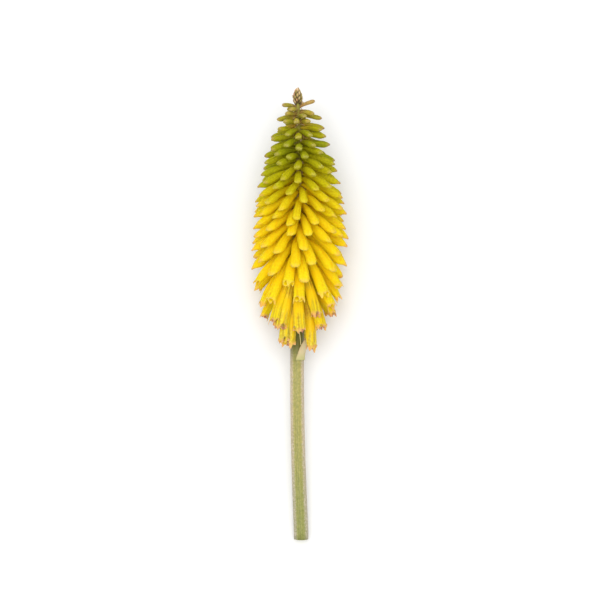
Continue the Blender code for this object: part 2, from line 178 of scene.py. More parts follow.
# A pattern floret, before it is fitted to its place: its half width, its tube's length and its sides
PATTERN_HALF_WIDTH = 0.003
PATTERN_TUBE = 0.020
FLORET_SIDES = 12

# A pattern's outline: share of the tube's length and of the half width, then for the tip its height
# above the tube in half widths
TUBE_OUTLINE = ((0.0, 0.36), (0.14, 0.52), (0.36, 0.82), (0.62, 1.00), (0.86, 1.09), (1.0, 1.10))
YOUNG_TIP = ((0.55, 1.07), (1.05, 1.02), (1.45, 0.91), (1.75, 0.70), (1.92, 0.40))
RIPE_TIP = ((0.60, 1.10), (1.15, 1.10), (1.60, 1.05), (1.96, 0.92), (2.22, 0.70), (2.34, 0.40))
OPEN_TIP = ((0.18, 1.12), (0.50, 1.20), (0.46, 1.12), (0.10, 0.96), (-0.60, 0.86), (-1.70, 0.68))
YOUNG_POLE, RIPE_POLE, OPEN_POLE = 2.00, 2.37, -1.90
OPEN_REACH = 0.75

# Where a floret's end grows thin, from one height above the tube to another, in half widths, and how flat
# an open one is beside the others
CLOSED_WEDGE = (0.0, 2.3)
OPEN_WEDGE = (-2.6, 0.4)
OPEN_FLATNESS_SHARE = 0.5

# The petals: the notch between two, the lift of a flat end and the unevenness of an open one, all in
# half widths
PETALS = 6
NOTCH, WEDGE_LIFT, TORN = 0.16, 0.55, 0.27

# Where the grooves between them start, as a share of the tube, and where they end and the seams start on a
# closed end, as shares of its height
GROOVE_START, GROOVE_END, SEAM_START = 0.3, 0.45, 0.6

# An open floret's edge and the end of its grooves, in half widths above the tube, how far both are drawn
# in, and its cup's width in half widths and its bottom as a share of the tube
OPEN_EDGE, OPEN_GROOVE_END = 0.3, 0.1
OPEN_EDGE_DRAWN_IN, OPEN_GROOVE_DRAWN_IN = 0.95, 0.90
CUP_WIDTH, CUP_BOTTOM = 0.98, 0.6

# How much the florets differ: their flatness, the turn of their petals, their sway and roll and their tint
FLATNESS_RANGE, PETAL_TURN_RANGE, SWAY_RANGE = (0.9, 1.1), (-0.2, 0.2), (-0.3, 0.3)
ROLL_RANGE, BLUSH_RANGE = (-0.35, 0.35), (0.7, 1.0)
LEAST_BLUSH, BLUSH_GAIN, BLUSH_BEND = 0.12, 0.85, 1.1

# How wide and how deep a floret is, as shares of its own width, at the depth of its end
ACROSS = ((0.012, 0.86), (0.020, 0.94), (0.035, 0.96), (0.046, 0.88), (0.070, 0.80), (0.090, 0.85),
          (0.110, 0.97), (0.135, 1.08))
DEEP = ((0.009, 0.86), (0.012, 0.90), (0.016, 0.96), (0.020, 0.90), (0.045, 0.90), (0.070, 0.97),
        (0.090, 1.0))

# How mature a floret's form is and how ripe its colour, at the depth of its end, and how far the colour
# may differ there
MATURITY = ((0.012, 0.1), (0.018, 0.55), (0.05, 0.85), (0.085, 1.0))
RIPENING = ((0.0090, 0.0), (0.0115, 0.09), (0.016, 0.10), (0.025, 0.17), (0.040, 0.26), (0.055, 0.40),
            (0.070, 0.56), (0.090, 0.68), (0.125, 0.84), (0.155, 1.0))
RIPENESS_VARIES = 0.03
RIPENESS_VARIES_SHARE = ((0.01, 0.2), (0.03, 1.0))

# The rachis's mesh, with every other ring a little thicker
RACHIS_SIDES, RACHIS_RING_GAP, RACHIS_KNOBS = 12, 0.004, 0.06

# Where the riper patterns and the stamens begin, by the depth of a floret's root
RIPE_FROM_DEPTH = 0.050
OPENING_FROM_DEPTH = OPEN_FROM_DEPTH - 0.004
OPENED_FROM_DEPTH = OPEN_FROM_DEPTH + 0.005
STAMENS_FROM_DEPTH = OPEN_FROM_DEPTH + 0.006


def through(points, at):
    """A smooth value at a place, from a curve through (place, value) pairs."""
    places = [place for place, _ in points]
    values = [value for _, value in points]
    if at <= places[0]:
        return values[0]
    if at >= places[-1]:
        return values[-1]
    k = max(i for i, place in enumerate(places) if place <= at)
    before, after = max(k - 1, 0), min(k + 2, len(points) - 1)
    span = places[k + 1] - places[k]
    start = (values[k + 1] - values[before]) / (places[k + 1] - places[before]) * span
    end = (values[after] - values[k]) / (places[after] - places[k]) * span
    t = (at - places[k]) / span
    rise = values[k + 1] - values[k]
    bend, ease = 3 * rise - 2 * start - end, start + end - 2 * rise
    return values[k] + start * t + bend * t**2 + ease * t**3


def linear(points, at):
    """A value at a place, along straight lines between (place, value) pairs."""
    places, values = zip(*points)
    return float(np.interp(at, places, values))


def axis_point(depth):
    """The middle of the stem or rachis at a depth below the tip."""
    height = FLOWER_LENGTH - depth
    return Vector((through(SWAY, height), 0.0, height))


def stem_radius(depth):
    """The stem's radius below the head, and the rachis's inside it."""
    if depth >= HEAD_BASE_DEPTH:
        share = (depth - HEAD_BASE_DEPTH) / (FLOWER_LENGTH - HEAD_BASE_DEPTH)
        return STEM_TOP_RADIUS + (STEM_CUT_RADIUS - STEM_TOP_RADIUS) * share
    share = (depth - TUFT_DEPTH) / (HEAD_BASE_DEPTH - TUFT_DEPTH)
    return RACHIS_TOP_RADIUS + (STEM_TOP_RADIUS - RACHIS_TOP_RADIUS) * max(share, 0.0) ** RACHIS_TAPER


def head_radius(depth):
    """The radius of the outline that the floret tips reach."""
    if depth < WIDEST_DEPTH:
        share = (WIDEST_DEPTH - depth) / WIDEST_DEPTH
        return SHOULDER_HALF_WIDTH + (HEAD_HALF_WIDTH - SHOULDER_HALF_WIDTH) * (1 - share**UPPER_ROUNDNESS)
    share = (depth - WIDEST_DEPTH) / (LOWEST_TIP_DEPTH - WIDEST_DEPTH)
    return HEAD_HALF_WIDTH * (1 - LOWER_DRAW_IN * share**LOWER_ROUNDNESS)


def lying_matrix():
    """Lays the standing flower down, with the low edge of its cut end on the table."""
    turned = Matrix.Rotation(TILT - math.pi / 2, 4, "X")
    lowest = STEM_CUT_RADIUS * math.cos(TILT)
    middle_y = -(FLOWER_LENGTH * math.cos(TILT) - STEM_CUT_RADIUS * math.sin(TILT)) / 2
    return Matrix.Translation((0, middle_y, lowest)) @ turned


LYING = lying_matrix()


def chord_end(root_radius, depth, length, droop):
    """(radius, depth) of a floret's tip."""
    return root_radius + length * math.cos(droop), depth + length * math.sin(droop)


def reach_outline(root_radius, depth, droop):
    """The length that brings a floret's tip to the head's outline."""
    low, high = SHORTEST_FLORET, LONGEST_FLORET
    for _ in range(30):
        middle = (low + high) / 2
        radius, tip_depth = chord_end(root_radius, depth, middle, droop)
        if radius < head_radius(tip_depth):
            low = middle
        else:
            high = middle
    return low


def outward(turn):
    return Vector((math.cos(turn), math.sin(turn), 0.0))


def floret_line(floret, shares):
    """Points of an arched floret in its own upright plane: +X is away from the rachis, +Z is up."""
    radius = floret["length"] / (2 * math.sin(ARCH / 2))
    first = floret["droop"] - ARCH / 2
    points = []
    for share in shares:
        angle = first + ARCH * share
        out = math.sin(angle) - math.sin(first)
        up = math.cos(angle) - math.cos(first)
        points.append(Vector((radius * out, 0.0, radius * up)))
    return points


def felt_spots(floret):
    """Places along a floret on the standing flower."""
    out = outward(floret["turn"])
    foot = axis_point(floret["depth"]) + out * floret["root_radius"]
    return [foot + out * point.x + Vector((0, 0, point.z)) for point in floret_line(floret, FELT_SHARES)]


def take_seen_ends(florets):
    """Turns and bends the florets nearest to the ends that the photograph shows, until theirs lie there."""
    free = list(florets)
    for across, depth in SEEN_ENDS:
        radius = max(head_radius(depth), abs(across))
        turn = -math.acos(across / radius)
        end = axis_point(depth) + outward(turn) * radius
        nearest = min(free, key=lambda floret: (felt_spots(floret)[-1] - end).length)
        free.remove(nearest)
        out, down = radius - nearest["root_radius"], depth - nearest["depth"]
        nearest.update(turn=turn, droop=math.atan2(down, out), length=math.hypot(out, down), is_seen=True)


def settle(florets):
    """Florets that would run into each other turn and bend aside, most of all at the colour change."""
    count, felt = len(florets), len(FELT_SHARES)
    mine, other = np.indices((count, count))
    is_green = np.array([floret["depth"] < COLOUR_CHANGE_DEPTH for floret in florets])
    room = np.where(is_green[:, None] != is_green[None], CLEARANCE, 0.0)
    widths = [[f["half_width"] * linear(f["profile"], share) for share in FELT_SHARES] for f in florets]
    widths = np.array(widths)
    touching = widths[:, None, :, None] + widths[None, :, None, :] + room[:, :, None, None]
    for _ in range(SETTLING_PASSES):
        spots = np.array([felt_spots(floret) for floret in florets])
        apart = spots[:, None, :, None] - spots[None, :, None, :]
        distance = np.linalg.norm(apart, axis=-1) + 1e-9
        press = np.clip(touching - distance, 0.0, None)
        press[np.arange(count), np.arange(count)] = 0.0
        worst = press.reshape(count, count, -1).argmax(-1)
        spot, its_spot = worst // felt, worst % felt
        strength = press[mine, other, spot, its_spot] / distance[mine, other, spot, its_spot]
        push = apart[mine, other, spot, its_spot] * strength[..., None]
        for index, floret in enumerate(florets):
            if floret["is_seen"]:
                continue
            aside = outward(floret["turn"] + math.pi / 2)
            share = np.array(FELT_SHARES)[spot[index]]
            from_axis = floret["root_radius"] + floret["length"] * math.cos(floret["droop"]) * share
            floret["turn"] += SETTLING_STEP * float((push[index] @ np.array(aside) / from_axis).sum())
            floret["droop"] -= SETTLING_STEP * float((push[index, :, 2] / (floret["length"] * share)).sum())


def height_over_table(radius, depth, turn):
    return (LYING @ (axis_point(depth) + outward(turn) * radius)).z


def clear_of_table(floret):
    """Bends a floret of the lower side down along the stem until its tip lies on the table."""
    tip_radius = floret["half_width"] * floret["profile"][-1][1]
    while floret["droop"] < math.pi / 2:
        radius, depth = chord_end(floret["root_radius"], floret["depth"], floret["length"], floret["droop"])
        room = tip_radius * math.sin(floret["droop"] + ARCH / 2) - PRESSED
        if height_over_table(radius, depth, floret["turn"]) >= room:
            return
        floret["droop"] += TABLE_BEND_STEP


def clear_of_colour_change(floret):
    """Moves a root away from the end of its stretch of rachis, and leaves the tip where it is."""
    natural = floret["depth"]
    if abs(natural - COLOUR_CHANGE_DEPTH) > ROOT_ROOM:
        return
    radius, tip_depth = chord_end(floret["root_radius"], natural, floret["length"], floret["droop"])
    floret["depth"] = COLOUR_CHANGE_DEPTH + math.copysign(ROOT_ROOM, natural - COLOUR_CHANGE_DEPTH)
    out, down = radius - floret["root_radius"], tip_depth - floret["depth"]
    floret["droop"], floret["length"] = math.atan2(down, out), math.hypot(out, down)


def floret_rule():
    """Every floret, from the tip down: a spiral of even turns, with the tips on the head's outline."""
    draw = random.Random(SEED)
    florets = []
    depth = FIRST_BUD_DEPTH
    number = -1
    while depth < LAST_FLORET_DEPTH:
        number += 1
        turn = START_TURN + number * DIVERGENCE + draw.uniform(-1, 1) * TURN_VARIES
        droop = math.radians(through(DROOP, depth)) + draw.uniform(-1, 1) * DROOP_VARIES
        root_radius = stem_radius(depth) - ROOT_SINK
        length = reach_outline(root_radius, depth, droop) * (1 + draw.uniform(-1, 1) * LENGTH_VARIES)
        profile = OPEN_PROFILE if depth > OPEN_FROM_DEPTH else BUD_PROFILE
        floret = {"depth": depth, "turn": turn, "droop": droop, "root_radius": root_radius, "length": length,
                  "half_width": linear(WIDTHS, depth) / 2, "profile": profile, "is_seen": False}
        clear_of_colour_change(floret)
        if number not in UNGROWN:
            florets.append(floret)
        depth += through(RISE, depth)
    take_seen_ends(florets)
    settle(florets)
    for floret in florets:
        clear_of_table(floret)
    return florets


FLORETS = floret_rule()


# Properties that a user would change

def length_property(name, description, value):
    return FloatProperty(name=name, description=description, default=value, unit="LENGTH")


def colour_property(name, description, value):
    return FloatVectorProperty(name=name, description=description, default=value, size=3, min=0.0, max=1.0,
                               subtype="COLOR")


class POKER_PG_sizes(bpy.types.PropertyGroup):
    """Sizes of the flower's fine parts."""

    petal_spread: FloatProperty(
        name="Petal Spread", description="Width of a ripe floret's end over its tube's width",
        default=1.06, min=0.8, max=1.5)
    petal_flatness: FloatProperty(
        name="Petal Flatness", description="How far a ripe floret's end is flattened",
        default=0.72, min=0.0, max=0.85, subtype="FACTOR")
    stamen_reach: length_property(
        "Stamen Reach", "How far the longest stamens stand out of an open floret", 0.0048)
    gap_bract_length: length_property(
        "Gap Bract Length", "Length of the small papery bract under each floret", 0.0048)
    bract_wall: length_property("Bract Wall", "Thickness of the papery bracts", 0.00022)
    stem_rib_depth: length_property("Stem Rib Depth", "Depth of the fine grooves along the stem", 0.00012)


class POKER_PG_colours(bpy.types.PropertyGroup):
    """Colours of the flower's finishes, as linear values."""

    tan: colour_property("Tip Tan", "The youngest buds", (0.42, 0.30, 0.10))
    young: colour_property("Young Bud", "Buds just below the youngest", (0.40, 0.33, 0.04))
    olive: colour_property("Olive", "Closed green buds", (0.335, 0.34, 0.004))
    lime: colour_property("Lime", "Buds that turn from green to yellow", (0.54, 0.48, 0.004))
    yellow: colour_property("Yellow", "Ripe florets", (0.88, 0.64, 0.006))
    pale_yellow: colour_property("Pale Yellow", "The lowest florets and the ends of the ripe ones",
                                 (0.64, 0.465, 0.09))
    # The next four colours are painted shade on the florets' inner ends
    gold: colour_property("Gold", "Shaded inner ends of the ripe florets", (0.93, 0.65, 0.003))
    shade_green: colour_property("Shade Green", "Shaded inner ends of the green buds", (0.34, 0.33, 0.003))
    ochre: colour_property("Ochre", "Inner ends of the buds below the youngest", (0.42, 0.29, 0.03))
    brown: colour_property("Bud Brown", "Shaded inner ends of the youngest buds", (0.30, 0.18, 0.07))
    blush: colour_property("Blush", "Salmon tint on the outermost floret ends", (0.82, 0.38, 0.16))
    anther: colour_property("Anther", "Pink-brown anthers", (0.46, 0.17, 0.12))
    cream: colour_property("Cream", "Papery bracts, styles and lobe edges", (0.74, 0.62, 0.36))
    stem_green: colour_property("Stem Green", "Middle of the stem", (0.365, 0.328, 0.098))
    # Partly the stem's waxy bloom and partly painted sheen, on its left and right sides
    stem_bloom_and_sheen: colour_property("Stem Bloom", "Pale waxy bands along the stem", (0.51, 0.41, 0.28))
    floor: colour_property("Floor", "The pale floor", (0.93, 0.93, 0.93))


class POKER_PG_stage(bpy.types.PropertyGroup):
    """The floor, the light and the camera."""

    floor_width: length_property("Floor Width", "Width of the floor", 6.0)
    lens: FloatProperty(name="Lens", description="Focal length of the camera", default=85.0, unit="CAMERA")
    camera_distance: length_property("Camera Distance", "From the camera to the flower's axis", 0.85)
    key_power: FloatProperty(
        name="Key Power", description="Power of the large soft light over the flower's tip",
        default=6.2, unit="POWER")
    sky_strength: FloatProperty(name="Sky Strength", description="Strength of the even white surroundings",
                                default=0.70)


# Modelling helpers

def object_mode():
    bpy.ops.object.mode_set(mode="OBJECT")


def edit_mode():
    bpy.ops.object.mode_set(mode="EDIT")


def pick_none():
    if bpy.context.mode != "OBJECT":
        object_mode()
    bpy.ops.object.select_all(action="DESELECT")


def pick(piece, test):
    """Picks the points of the piece in edit mode whose place passes the test."""
    bpy.ops.mesh.select_all(action="DESELECT")
    shape = bmesh.from_edit_mesh(piece.data)
    for corner in shape.verts:
        corner.select = test(corner.co)
    shape.select_flush_mode()
    bmesh.update_edit_mesh(piece.data)


def swell(wide, deep, centre):
    """Resizes the picked points across the flower's axis, about a centre."""
    bpy.ops.transform.resize(value=(wide, deep, 1.0), center_override=centre)


def raise_points(rise):
    """Moves the picked points up along the flower's axis."""
    bpy.ops.transform.translate(value=(0, 0, rise))


def model_tube(name, sides, rings):
    """A closed tube through rings of (centre, radius), left in edit mode with its last face picked."""
    (low, first), (high, second) = rings[:2]
    pick_none()
    bpy.ops.mesh.primitive_cylinder_add(vertices=sides, radius=first, depth=(high - low).length,
                                        location=(low + high) / 2)
    tube = bpy.context.object
    tube.name = name
    bpy.ops.object.transform_apply()
    edit_mode()
    pick(tube, lambda spot: (spot - high).length < (spot - low).length)
    bpy.ops.transform.translate(value=(high.x - (low + high).x / 2, high.y - (low + high).y / 2, 0))
    swell(second / first, second / first, high)
    for (before, narrow), (after, wide) in zip(rings[1:], rings[2:]):
        bpy.ops.mesh.extrude_region_move(TRANSFORM_OT_translate={"value": after - before})
        swell(wide / narrow, wide / narrow, after)
    return tube


def plain_tube(name, sides, rings):
    """A closed tube that needs no more work on its points."""
    tube = model_tube(name, sides, rings)
    object_mode()
    return tube


def upright(outline):
    """Rings on the +Z axis, from (height, radius) pairs."""
    return [(Vector((0, 0, height)), radius) for height, radius in outline]


def even_depths(bottom, top, count):
    """Evenly spaced depths from the bottom up to the top."""
    return [bottom + (top - bottom) * k / count for k in range(count + 1)]


def close_pole(rise):
    """Turns the picked end face into a fan round a raised middle point."""
    bpy.ops.mesh.poke()
    bpy.ops.mesh.select_less()
    raise_points(rise)


def apply(piece, kind, name, **settings):
    """Adds a modifier to a piece and applies it."""
    modifier = piece.modifiers.new(name, kind)
    for setting, value in settings.items():
        setattr(modifier, setting, value)
    bpy.context.view_layer.objects.active = piece
    bpy.ops.object.modifier_apply(modifier=name)


def bend(piece, name, angle):
    """Bends a piece that stands along +Z."""
    apply(piece, "SIMPLE_DEFORM", name, deform_method="BEND", deform_axis="Y", angle=angle)


def planted(foot, turn):
    """Sets a piece on its foot and turns its +X away from the flower's axis."""
    return Matrix.Translation(foot) @ Matrix.Rotation(turn, 4, "Z")


def places(mesh):
    """The mesh's points as a table with one row each."""
    table = np.empty(len(mesh.vertices) * 3, np.float32)
    mesh.vertices.foreach_get("co", table)
    return table.reshape(-1, 3).astype(float)


def move_points(mesh, table):
    mesh.vertices.foreach_set("co", table.astype(np.float32).ravel())
    mesh.update()


def mark(mesh, **marks):
    """Stores one number at each point under each name, for a material to read."""
    for name, values in marks.items():
        attribute = mesh.attributes.get(name) or mesh.attributes.new(name, "FLOAT", "POINT")
        attribute.data.foreach_set("value", np.broadcast_to(values, len(mesh.vertices)).astype(np.float32))


def unroll(mesh, height_scale):
    """A UV map round and along a tube that stands on its lower end."""
    layer = mesh.uv_layers.new(name="unrolled")
    for face in mesh.polygons:
        middle = math.atan2(face.center.y, face.center.x)
        for corner in face.loop_indices:
            spot = mesh.vertices[mesh.loops[corner].vertex_index].co
            turn = math.atan2(spot.y, spot.x)
            turn += round((middle - turn) / math.tau) * math.tau
            layer.data[corner].uv = (turn / math.tau, spot.z * height_scale)


def unroll_flat(mesh, across, along, width=1.0):
    """A UV map of a flat sheet from two of its axes, given by their numbers."""
    layer = mesh.uv_layers.new(name="unrolled")
    for loop in mesh.loops:
        spot = mesh.vertices[loop.vertex_index].co
        layer.data[loop.index].uv = (spot[across] * width, spot[along])


def copy_of(pattern, name):
    """A copy of a pattern piece with its own mesh."""
    copied = pattern.copy()
    copied.data = pattern.data.copy()
    copied.name = name
    bpy.context.scene.collection.objects.link(copied)
    return copied


def join(pieces, name):
    """Joins pieces in one object that sits at the origin."""
    pick_none()
    for piece in pieces:
        piece.select_set(True)
    bpy.context.view_layer.objects.active = pieces[0]
    bpy.ops.object.join()
    joined = bpy.context.object
    joined.name = joined.data.name = name
    return joined


def lay_down(piece):
    """Lays a standing piece on the table; what the table would cut off is pressed flat instead."""
    piece.data.transform(LYING)
    table = places(piece.data)
    table[:, 2] = np.maximum(table[:, 2], 0.0)
    move_points(piece.data, table)


def finish_piece(piece, material, slot, *nodes):
    """Lays a piece down, gives it its finish and ties it to the frame."""
    lay_down(piece)
    piece.data.materials.clear()
    piece.data.materials.append(material)
    piece.data.shade_smooth()
    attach(piece, "root")
    if nodes:
        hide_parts(*nodes)


def remove(*pieces):
    for piece in pieces:
        mesh = piece.data
        bpy.data.objects.remove(piece)
        bpy.data.meshes.remove(mesh)


# Materials

class Finish:
    """One node material, built a step at a time. Glow is light that passes through a thin part."""

    def __init__(self, name, roughness, specular, glow=0.0, glow_reach=(1.0, 0.8, 0.4), glow_depth=0.003):
        self.material = bpy.data.materials.new(name)
        self.material.use_nodes = True
        self.tree = self.material.node_tree
        self.shader = self.tree.nodes["Principled BSDF"]
        for socket, value in (("Roughness", roughness), ("Specular IOR Level", specular),
                              ("Subsurface Weight", glow), ("Subsurface Radius", glow_reach),
                              ("Subsurface Scale", glow_depth)):
            self.shader.inputs[socket].default_value = value

    def feed(self, socket, value):
        """Links a socket to another node's output, or sets it to a plain value."""
        if isinstance(value, bpy.types.NodeSocket):
            self.tree.links.new(value, socket)
        elif socket.type == "RGBA":
            socket.default_value = (*value[:3], 1.0)
        else:
            socket.default_value = value

    def node(self, kind, **settings):
        made = self.tree.nodes.new(kind)
        for setting, value in settings.items():
            setattr(made, setting, value)
        return made

    def mark(self, name):
        return self.node("ShaderNodeAttribute", attribute_name=name).outputs["Fac"]

    def math(self, operation, first, second=0.0, clamp=False):
        made = self.node("ShaderNodeMath", operation=operation, use_clamp=clamp)
        self.feed(made.inputs[0], first)
        self.feed(made.inputs[1], second)
        return made.outputs[0]

    def times(self, first, second):
        return self.math("MULTIPLY", first, second)

    def step(self, value, start, end, low=0.0, high=1.0):
        """A smooth change from low to high as the value goes from start to end."""
        made = self.node("ShaderNodeMapRange", interpolation_type="SMOOTHSTEP")
        for name, given in (("Value", value), ("From Min", start), ("From Max", end), ("To Min", low),
                            ("To Max", high)):
            self.feed(made.inputs[name], given)
        return made.outputs[0]

    def blend(self, share, first, second, way="MIX"):
        made = self.node("ShaderNodeMix", data_type="RGBA", blend_type=way)
        self.feed(made.inputs[0], share)
        self.feed(made.inputs[6], first)
        self.feed(made.inputs[7], second)
        return made.outputs[2]

    def overlay(self, share, colour, pattern):
        """Darkens a colour where a pattern is below middle grey, and lightens it where it is above."""
        return self.blend(share, colour, pattern, "OVERLAY")

    def ramp(self, value, stops):
        """Colours at places from 0 to 1, blended between them."""
        made = self.node("ShaderNodeValToRGB")
        elements = made.color_ramp.elements
        while len(elements) < len(stops):
            elements.new(0.5)
        for element, (place, colour) in zip(elements, stops):
            element.position = place
            element.color = (*colour, 1.0)
        self.feed(made.inputs[0], value)
        return made.outputs[0]

    def greys(self, value, *stops):
        """Greys at places from 0 to 1, blended between them."""
        return self.ramp(value, [(place, (level,) * 3) for place, level in stops])

    def vector(self, source, stretch=(1.0, 1.0, 1.0), shift=None):
        """Object or UV coordinates, stretched, and shifted by another node's output."""
        coordinates = self.node("ShaderNodeTexCoord").outputs[source]
        made = self.node("ShaderNodeVectorMath", operation="MULTIPLY_ADD")
        self.feed(made.inputs[0], coordinates)
        self.feed(made.inputs[1], stretch)
        if shift is not None:
            self.feed(made.inputs[2], shift)
        return made.outputs[0]

    def noise(self, vector, scale, detail=3.0, roughness=0.55):
        made = self.node("ShaderNodeTexNoise")
        self.feed(made.inputs["Vector"], vector)
        made.inputs["Scale"].default_value = scale
        made.inputs["Detail"].default_value = detail
        made.inputs["Roughness"].default_value = roughness
        return made.outputs[0]

    def finish(self, colour, height=None, relief=0.0, strength=0.5):
        """Feeds the shader its colour, and a relief from a height in units of relief."""
        self.feed(self.shader.inputs["Base Color"], colour)
        if height is not None:
            bump = self.node("ShaderNodeBump")
            bump.inputs["Strength"].default_value = strength
            bump.inputs["Distance"].default_value = relief
            self.feed(bump.inputs["Height"], height)
            self.feed(self.shader.inputs["Normal"], bump.outputs[0])
        return self.material


def petal_finish():
    """Florets from olive green through lime to yellow, paler at the rim, with painted shade at the root, in
    the grooves and in the open cups.
    """
    colours = bpy.context.scene.poker_colours
    made = Finish("petal", 0.6, 0.10, 0.7, (1.0, 0.95, 0.4), 0.0010)
    along, ripeness, rim, tint = map(made.mark, ("along", "ripeness", "rim", "tint"))
    blush, hollow, groove = map(made.mark, ("blush", "hollow", "groove"))
    age = made.math("ADD", ripeness, made.times(along, -0.07), clamp=True)
    body = made.ramp(age, ((0.0, colours.tan), (0.04, colours.young), (0.15, colours.olive),
                           (0.25, colours.olive), (0.44, colours.lime), (0.62, colours.yellow),
                           (0.85, colours.yellow), (1.0, colours.pale_yellow)))
    # Painted shade: the inner ends take the tones that florets show in shade, browner on the youngest buds
    # and a deeper gold on the ripe florets
    root = made.ramp(age, ((0.08, colours.brown), (0.14, colours.ochre), (0.25, colours.shade_green),
                           (0.34, colours.shade_green), (0.58, colours.gold), (1.0, colours.gold)))
    body = made.blend(made.step(along, 0.15, 0.65), root, body)
    body = made.overlay(0.6, body, made.ramp(tint, ((0.0, (0.38, 0.46, 0.5)), (1.0, (0.60, 0.54, 0.5)))))
    streaks = made.noise(made.vector("UV", (15.0, 1.0, 1.0), tint), 1.0, 3.0, 0.6)
    mottle = made.noise(made.vector("Object"), 800.0, 2.5)
    weathered = made.step(age, 0.65, 0.9, 0.35, 0.6)
    body = made.overlay(weathered, body, made.greys(streaks, (0.3, 0.3), (0.7, 0.8)))
    body = made.overlay(weathered, body, made.greys(mottle, (0.3, 0.25), (0.7, 0.85)))
    spots = made.noise(made.vector("UV", (34.0, 13.0, 1.0), tint), 1.0, 2.0)
    spotted = made.times(made.step(spots, 0.47, 0.62), made.step(age, 0.72, 0.97, 0.08, 0.9))
    body = made.blend(spotted, body, (0.43, 0.31, 0.015))
    pale = made.ramp(age, ((0.0, (0.60, 0.46, 0.20)), (0.25, (0.50, 0.50, 0.12)), (0.55, (0.86, 0.72, 0.06)),
                           (0.72, (0.94, 0.68, 0.14)), (0.86, (0.82, 0.34, 0.21))))
    rim_share = made.greys(age, (0.2, 0.65), (0.5, 0.2), (0.72, 0.4), (0.84, 0.9))
    body = made.blend(made.times(rim, rim_share), body, pale)
    sun = made.ramp(age, ((0.25, (0.42, 0.25, 0.11)), (0.55, colours.blush)))
    body = made.blend(made.times(blush, made.step(along, 0.87, 0.99)), body, sun)
    # Painted shade: the open florets' cups take the gold of the shaded inner ends
    body = made.blend(made.times(hollow, 0.8), body, colours.gold)
    # Painted shade: the root's shaded tone is painted into the grooves between the petals
    body = made.blend(made.times(groove, 0.35), body, root)
    height = made.math("ADD", made.times(streaks, 0.7), made.times(mottle, 0.3))
    return made.finish(body, height, 0.00025, 0.7)


def rachis_finish():
    """The rachis between the florets: olive among the buds, golden among the ripe florets."""
    made = Finish("rachis", 0.65, 0.1)
    mottle = made.noise(made.vector("Object", (1.0, 0.4, 1.0)), 700.0, 4.0)
    colour = made.ramp(made.mark("ripeness"), ((0.0, (0.30, 0.27, 0.06)), (0.3, (0.26, 0.24, 0.02)),
                                               (0.5, (0.50, 0.38, 0.02))))
    colour = made.overlay(0.4, colour, made.greys(mottle, (0.3, 0.2), (0.7, 0.9)))
    return made.finish(colour, mottle, 0.0003, 0.6)


def papery_finish(name, back, foot, glow=0.0):
    """Dry bracts: streaked pale over the colour of their backs, browner at the edges, darker at the feet."""
    colours = bpy.context.scene.poker_colours
    made = Finish(name, 0.6, 0.25, glow, (1.0, 0.9, 0.7), 0.0004)
    edge, along, young = map(made.mark, ("edge", "along", "young"))
    fibres = made.noise(made.vector("UV", (30.0, 2.0, 1.0)), 1.0, 4.0, 0.65)
    colour = made.ramp(fibres, ((0.3, back), (0.6, colours.cream), (0.8, (0.85, 0.76, 0.55))))
    colour = made.blend(made.times(young, 0.9), colour, (0.42, 0.29, 0.04))
    colour = made.blend(made.times(edge, 0.4), colour, (0.55, 0.32, 0.14))
    colour = made.blend(made.step(along, 0.45, 0.0, 0.0, 0.8), colour, foot)
    return made.finish(colour, fibres, 0.00012, 0.6)


def tuft_finish():
    """The youngest scales: olive-cream backs with pink-brown edges, and near-black painted shade at their
    feet and on their core.
    """
    made = Finish("tuft_scale", 0.55, 0.25, 0.15, (1.0, 0.7, 0.4))
    edge, along, tint = map(made.mark, ("edge", "along", "tint"))
    fibres = made.noise(made.vector("UV", (9.0, 1.5, 1.0), tint), 1.0, 3.0, 0.6)
    back = made.ramp(tint, ((0.0, (0.31, 0.26, 0.05)), (0.35, (0.51, 0.38, 0.12)), (0.6, (0.84, 0.57, 0.31)),
                            (0.8, (0.60, 0.29, 0.16)), (1.0, (0.46, 0.38, 0.10))))
    back = made.overlay(0.3, back, made.greys(fibres, (0.3, 0.2), (0.7, 0.95)))
    colour = made.blend(made.times(edge, 0.5), back, (0.40, 0.22, 0.13))
    # Painted shade: the scales' feet, and the core they clasp, are darkened to near black as the shade
    # between the scales
    colour = made.blend(made.step(along, 0.75, 0.3, 0.0, 0.85), colour, (0.07, 0.055, 0.015))
    return made.finish(colour, fibres, 0.0001, 0.6)


def stamen_finish():
    """Cream filaments and styles, with pink-brown powdery anthers."""
    colours = bpy.context.scene.poker_colours
    made = Finish("stamen", 0.6, 0.2, 0.1)
    powder = made.noise(made.vector("Object"), 2600.0, 2.0)
    anther = made.blend(powder, colours.anther, (0.62, 0.30, 0.16))
    filament = made.blend(powder, (0.80, 0.66, 0.22), colours.cream)
    colour = made.blend(made.mark("anther"), filament, anther)
    return made.finish(colour, powder, 0.00008, 0.5)


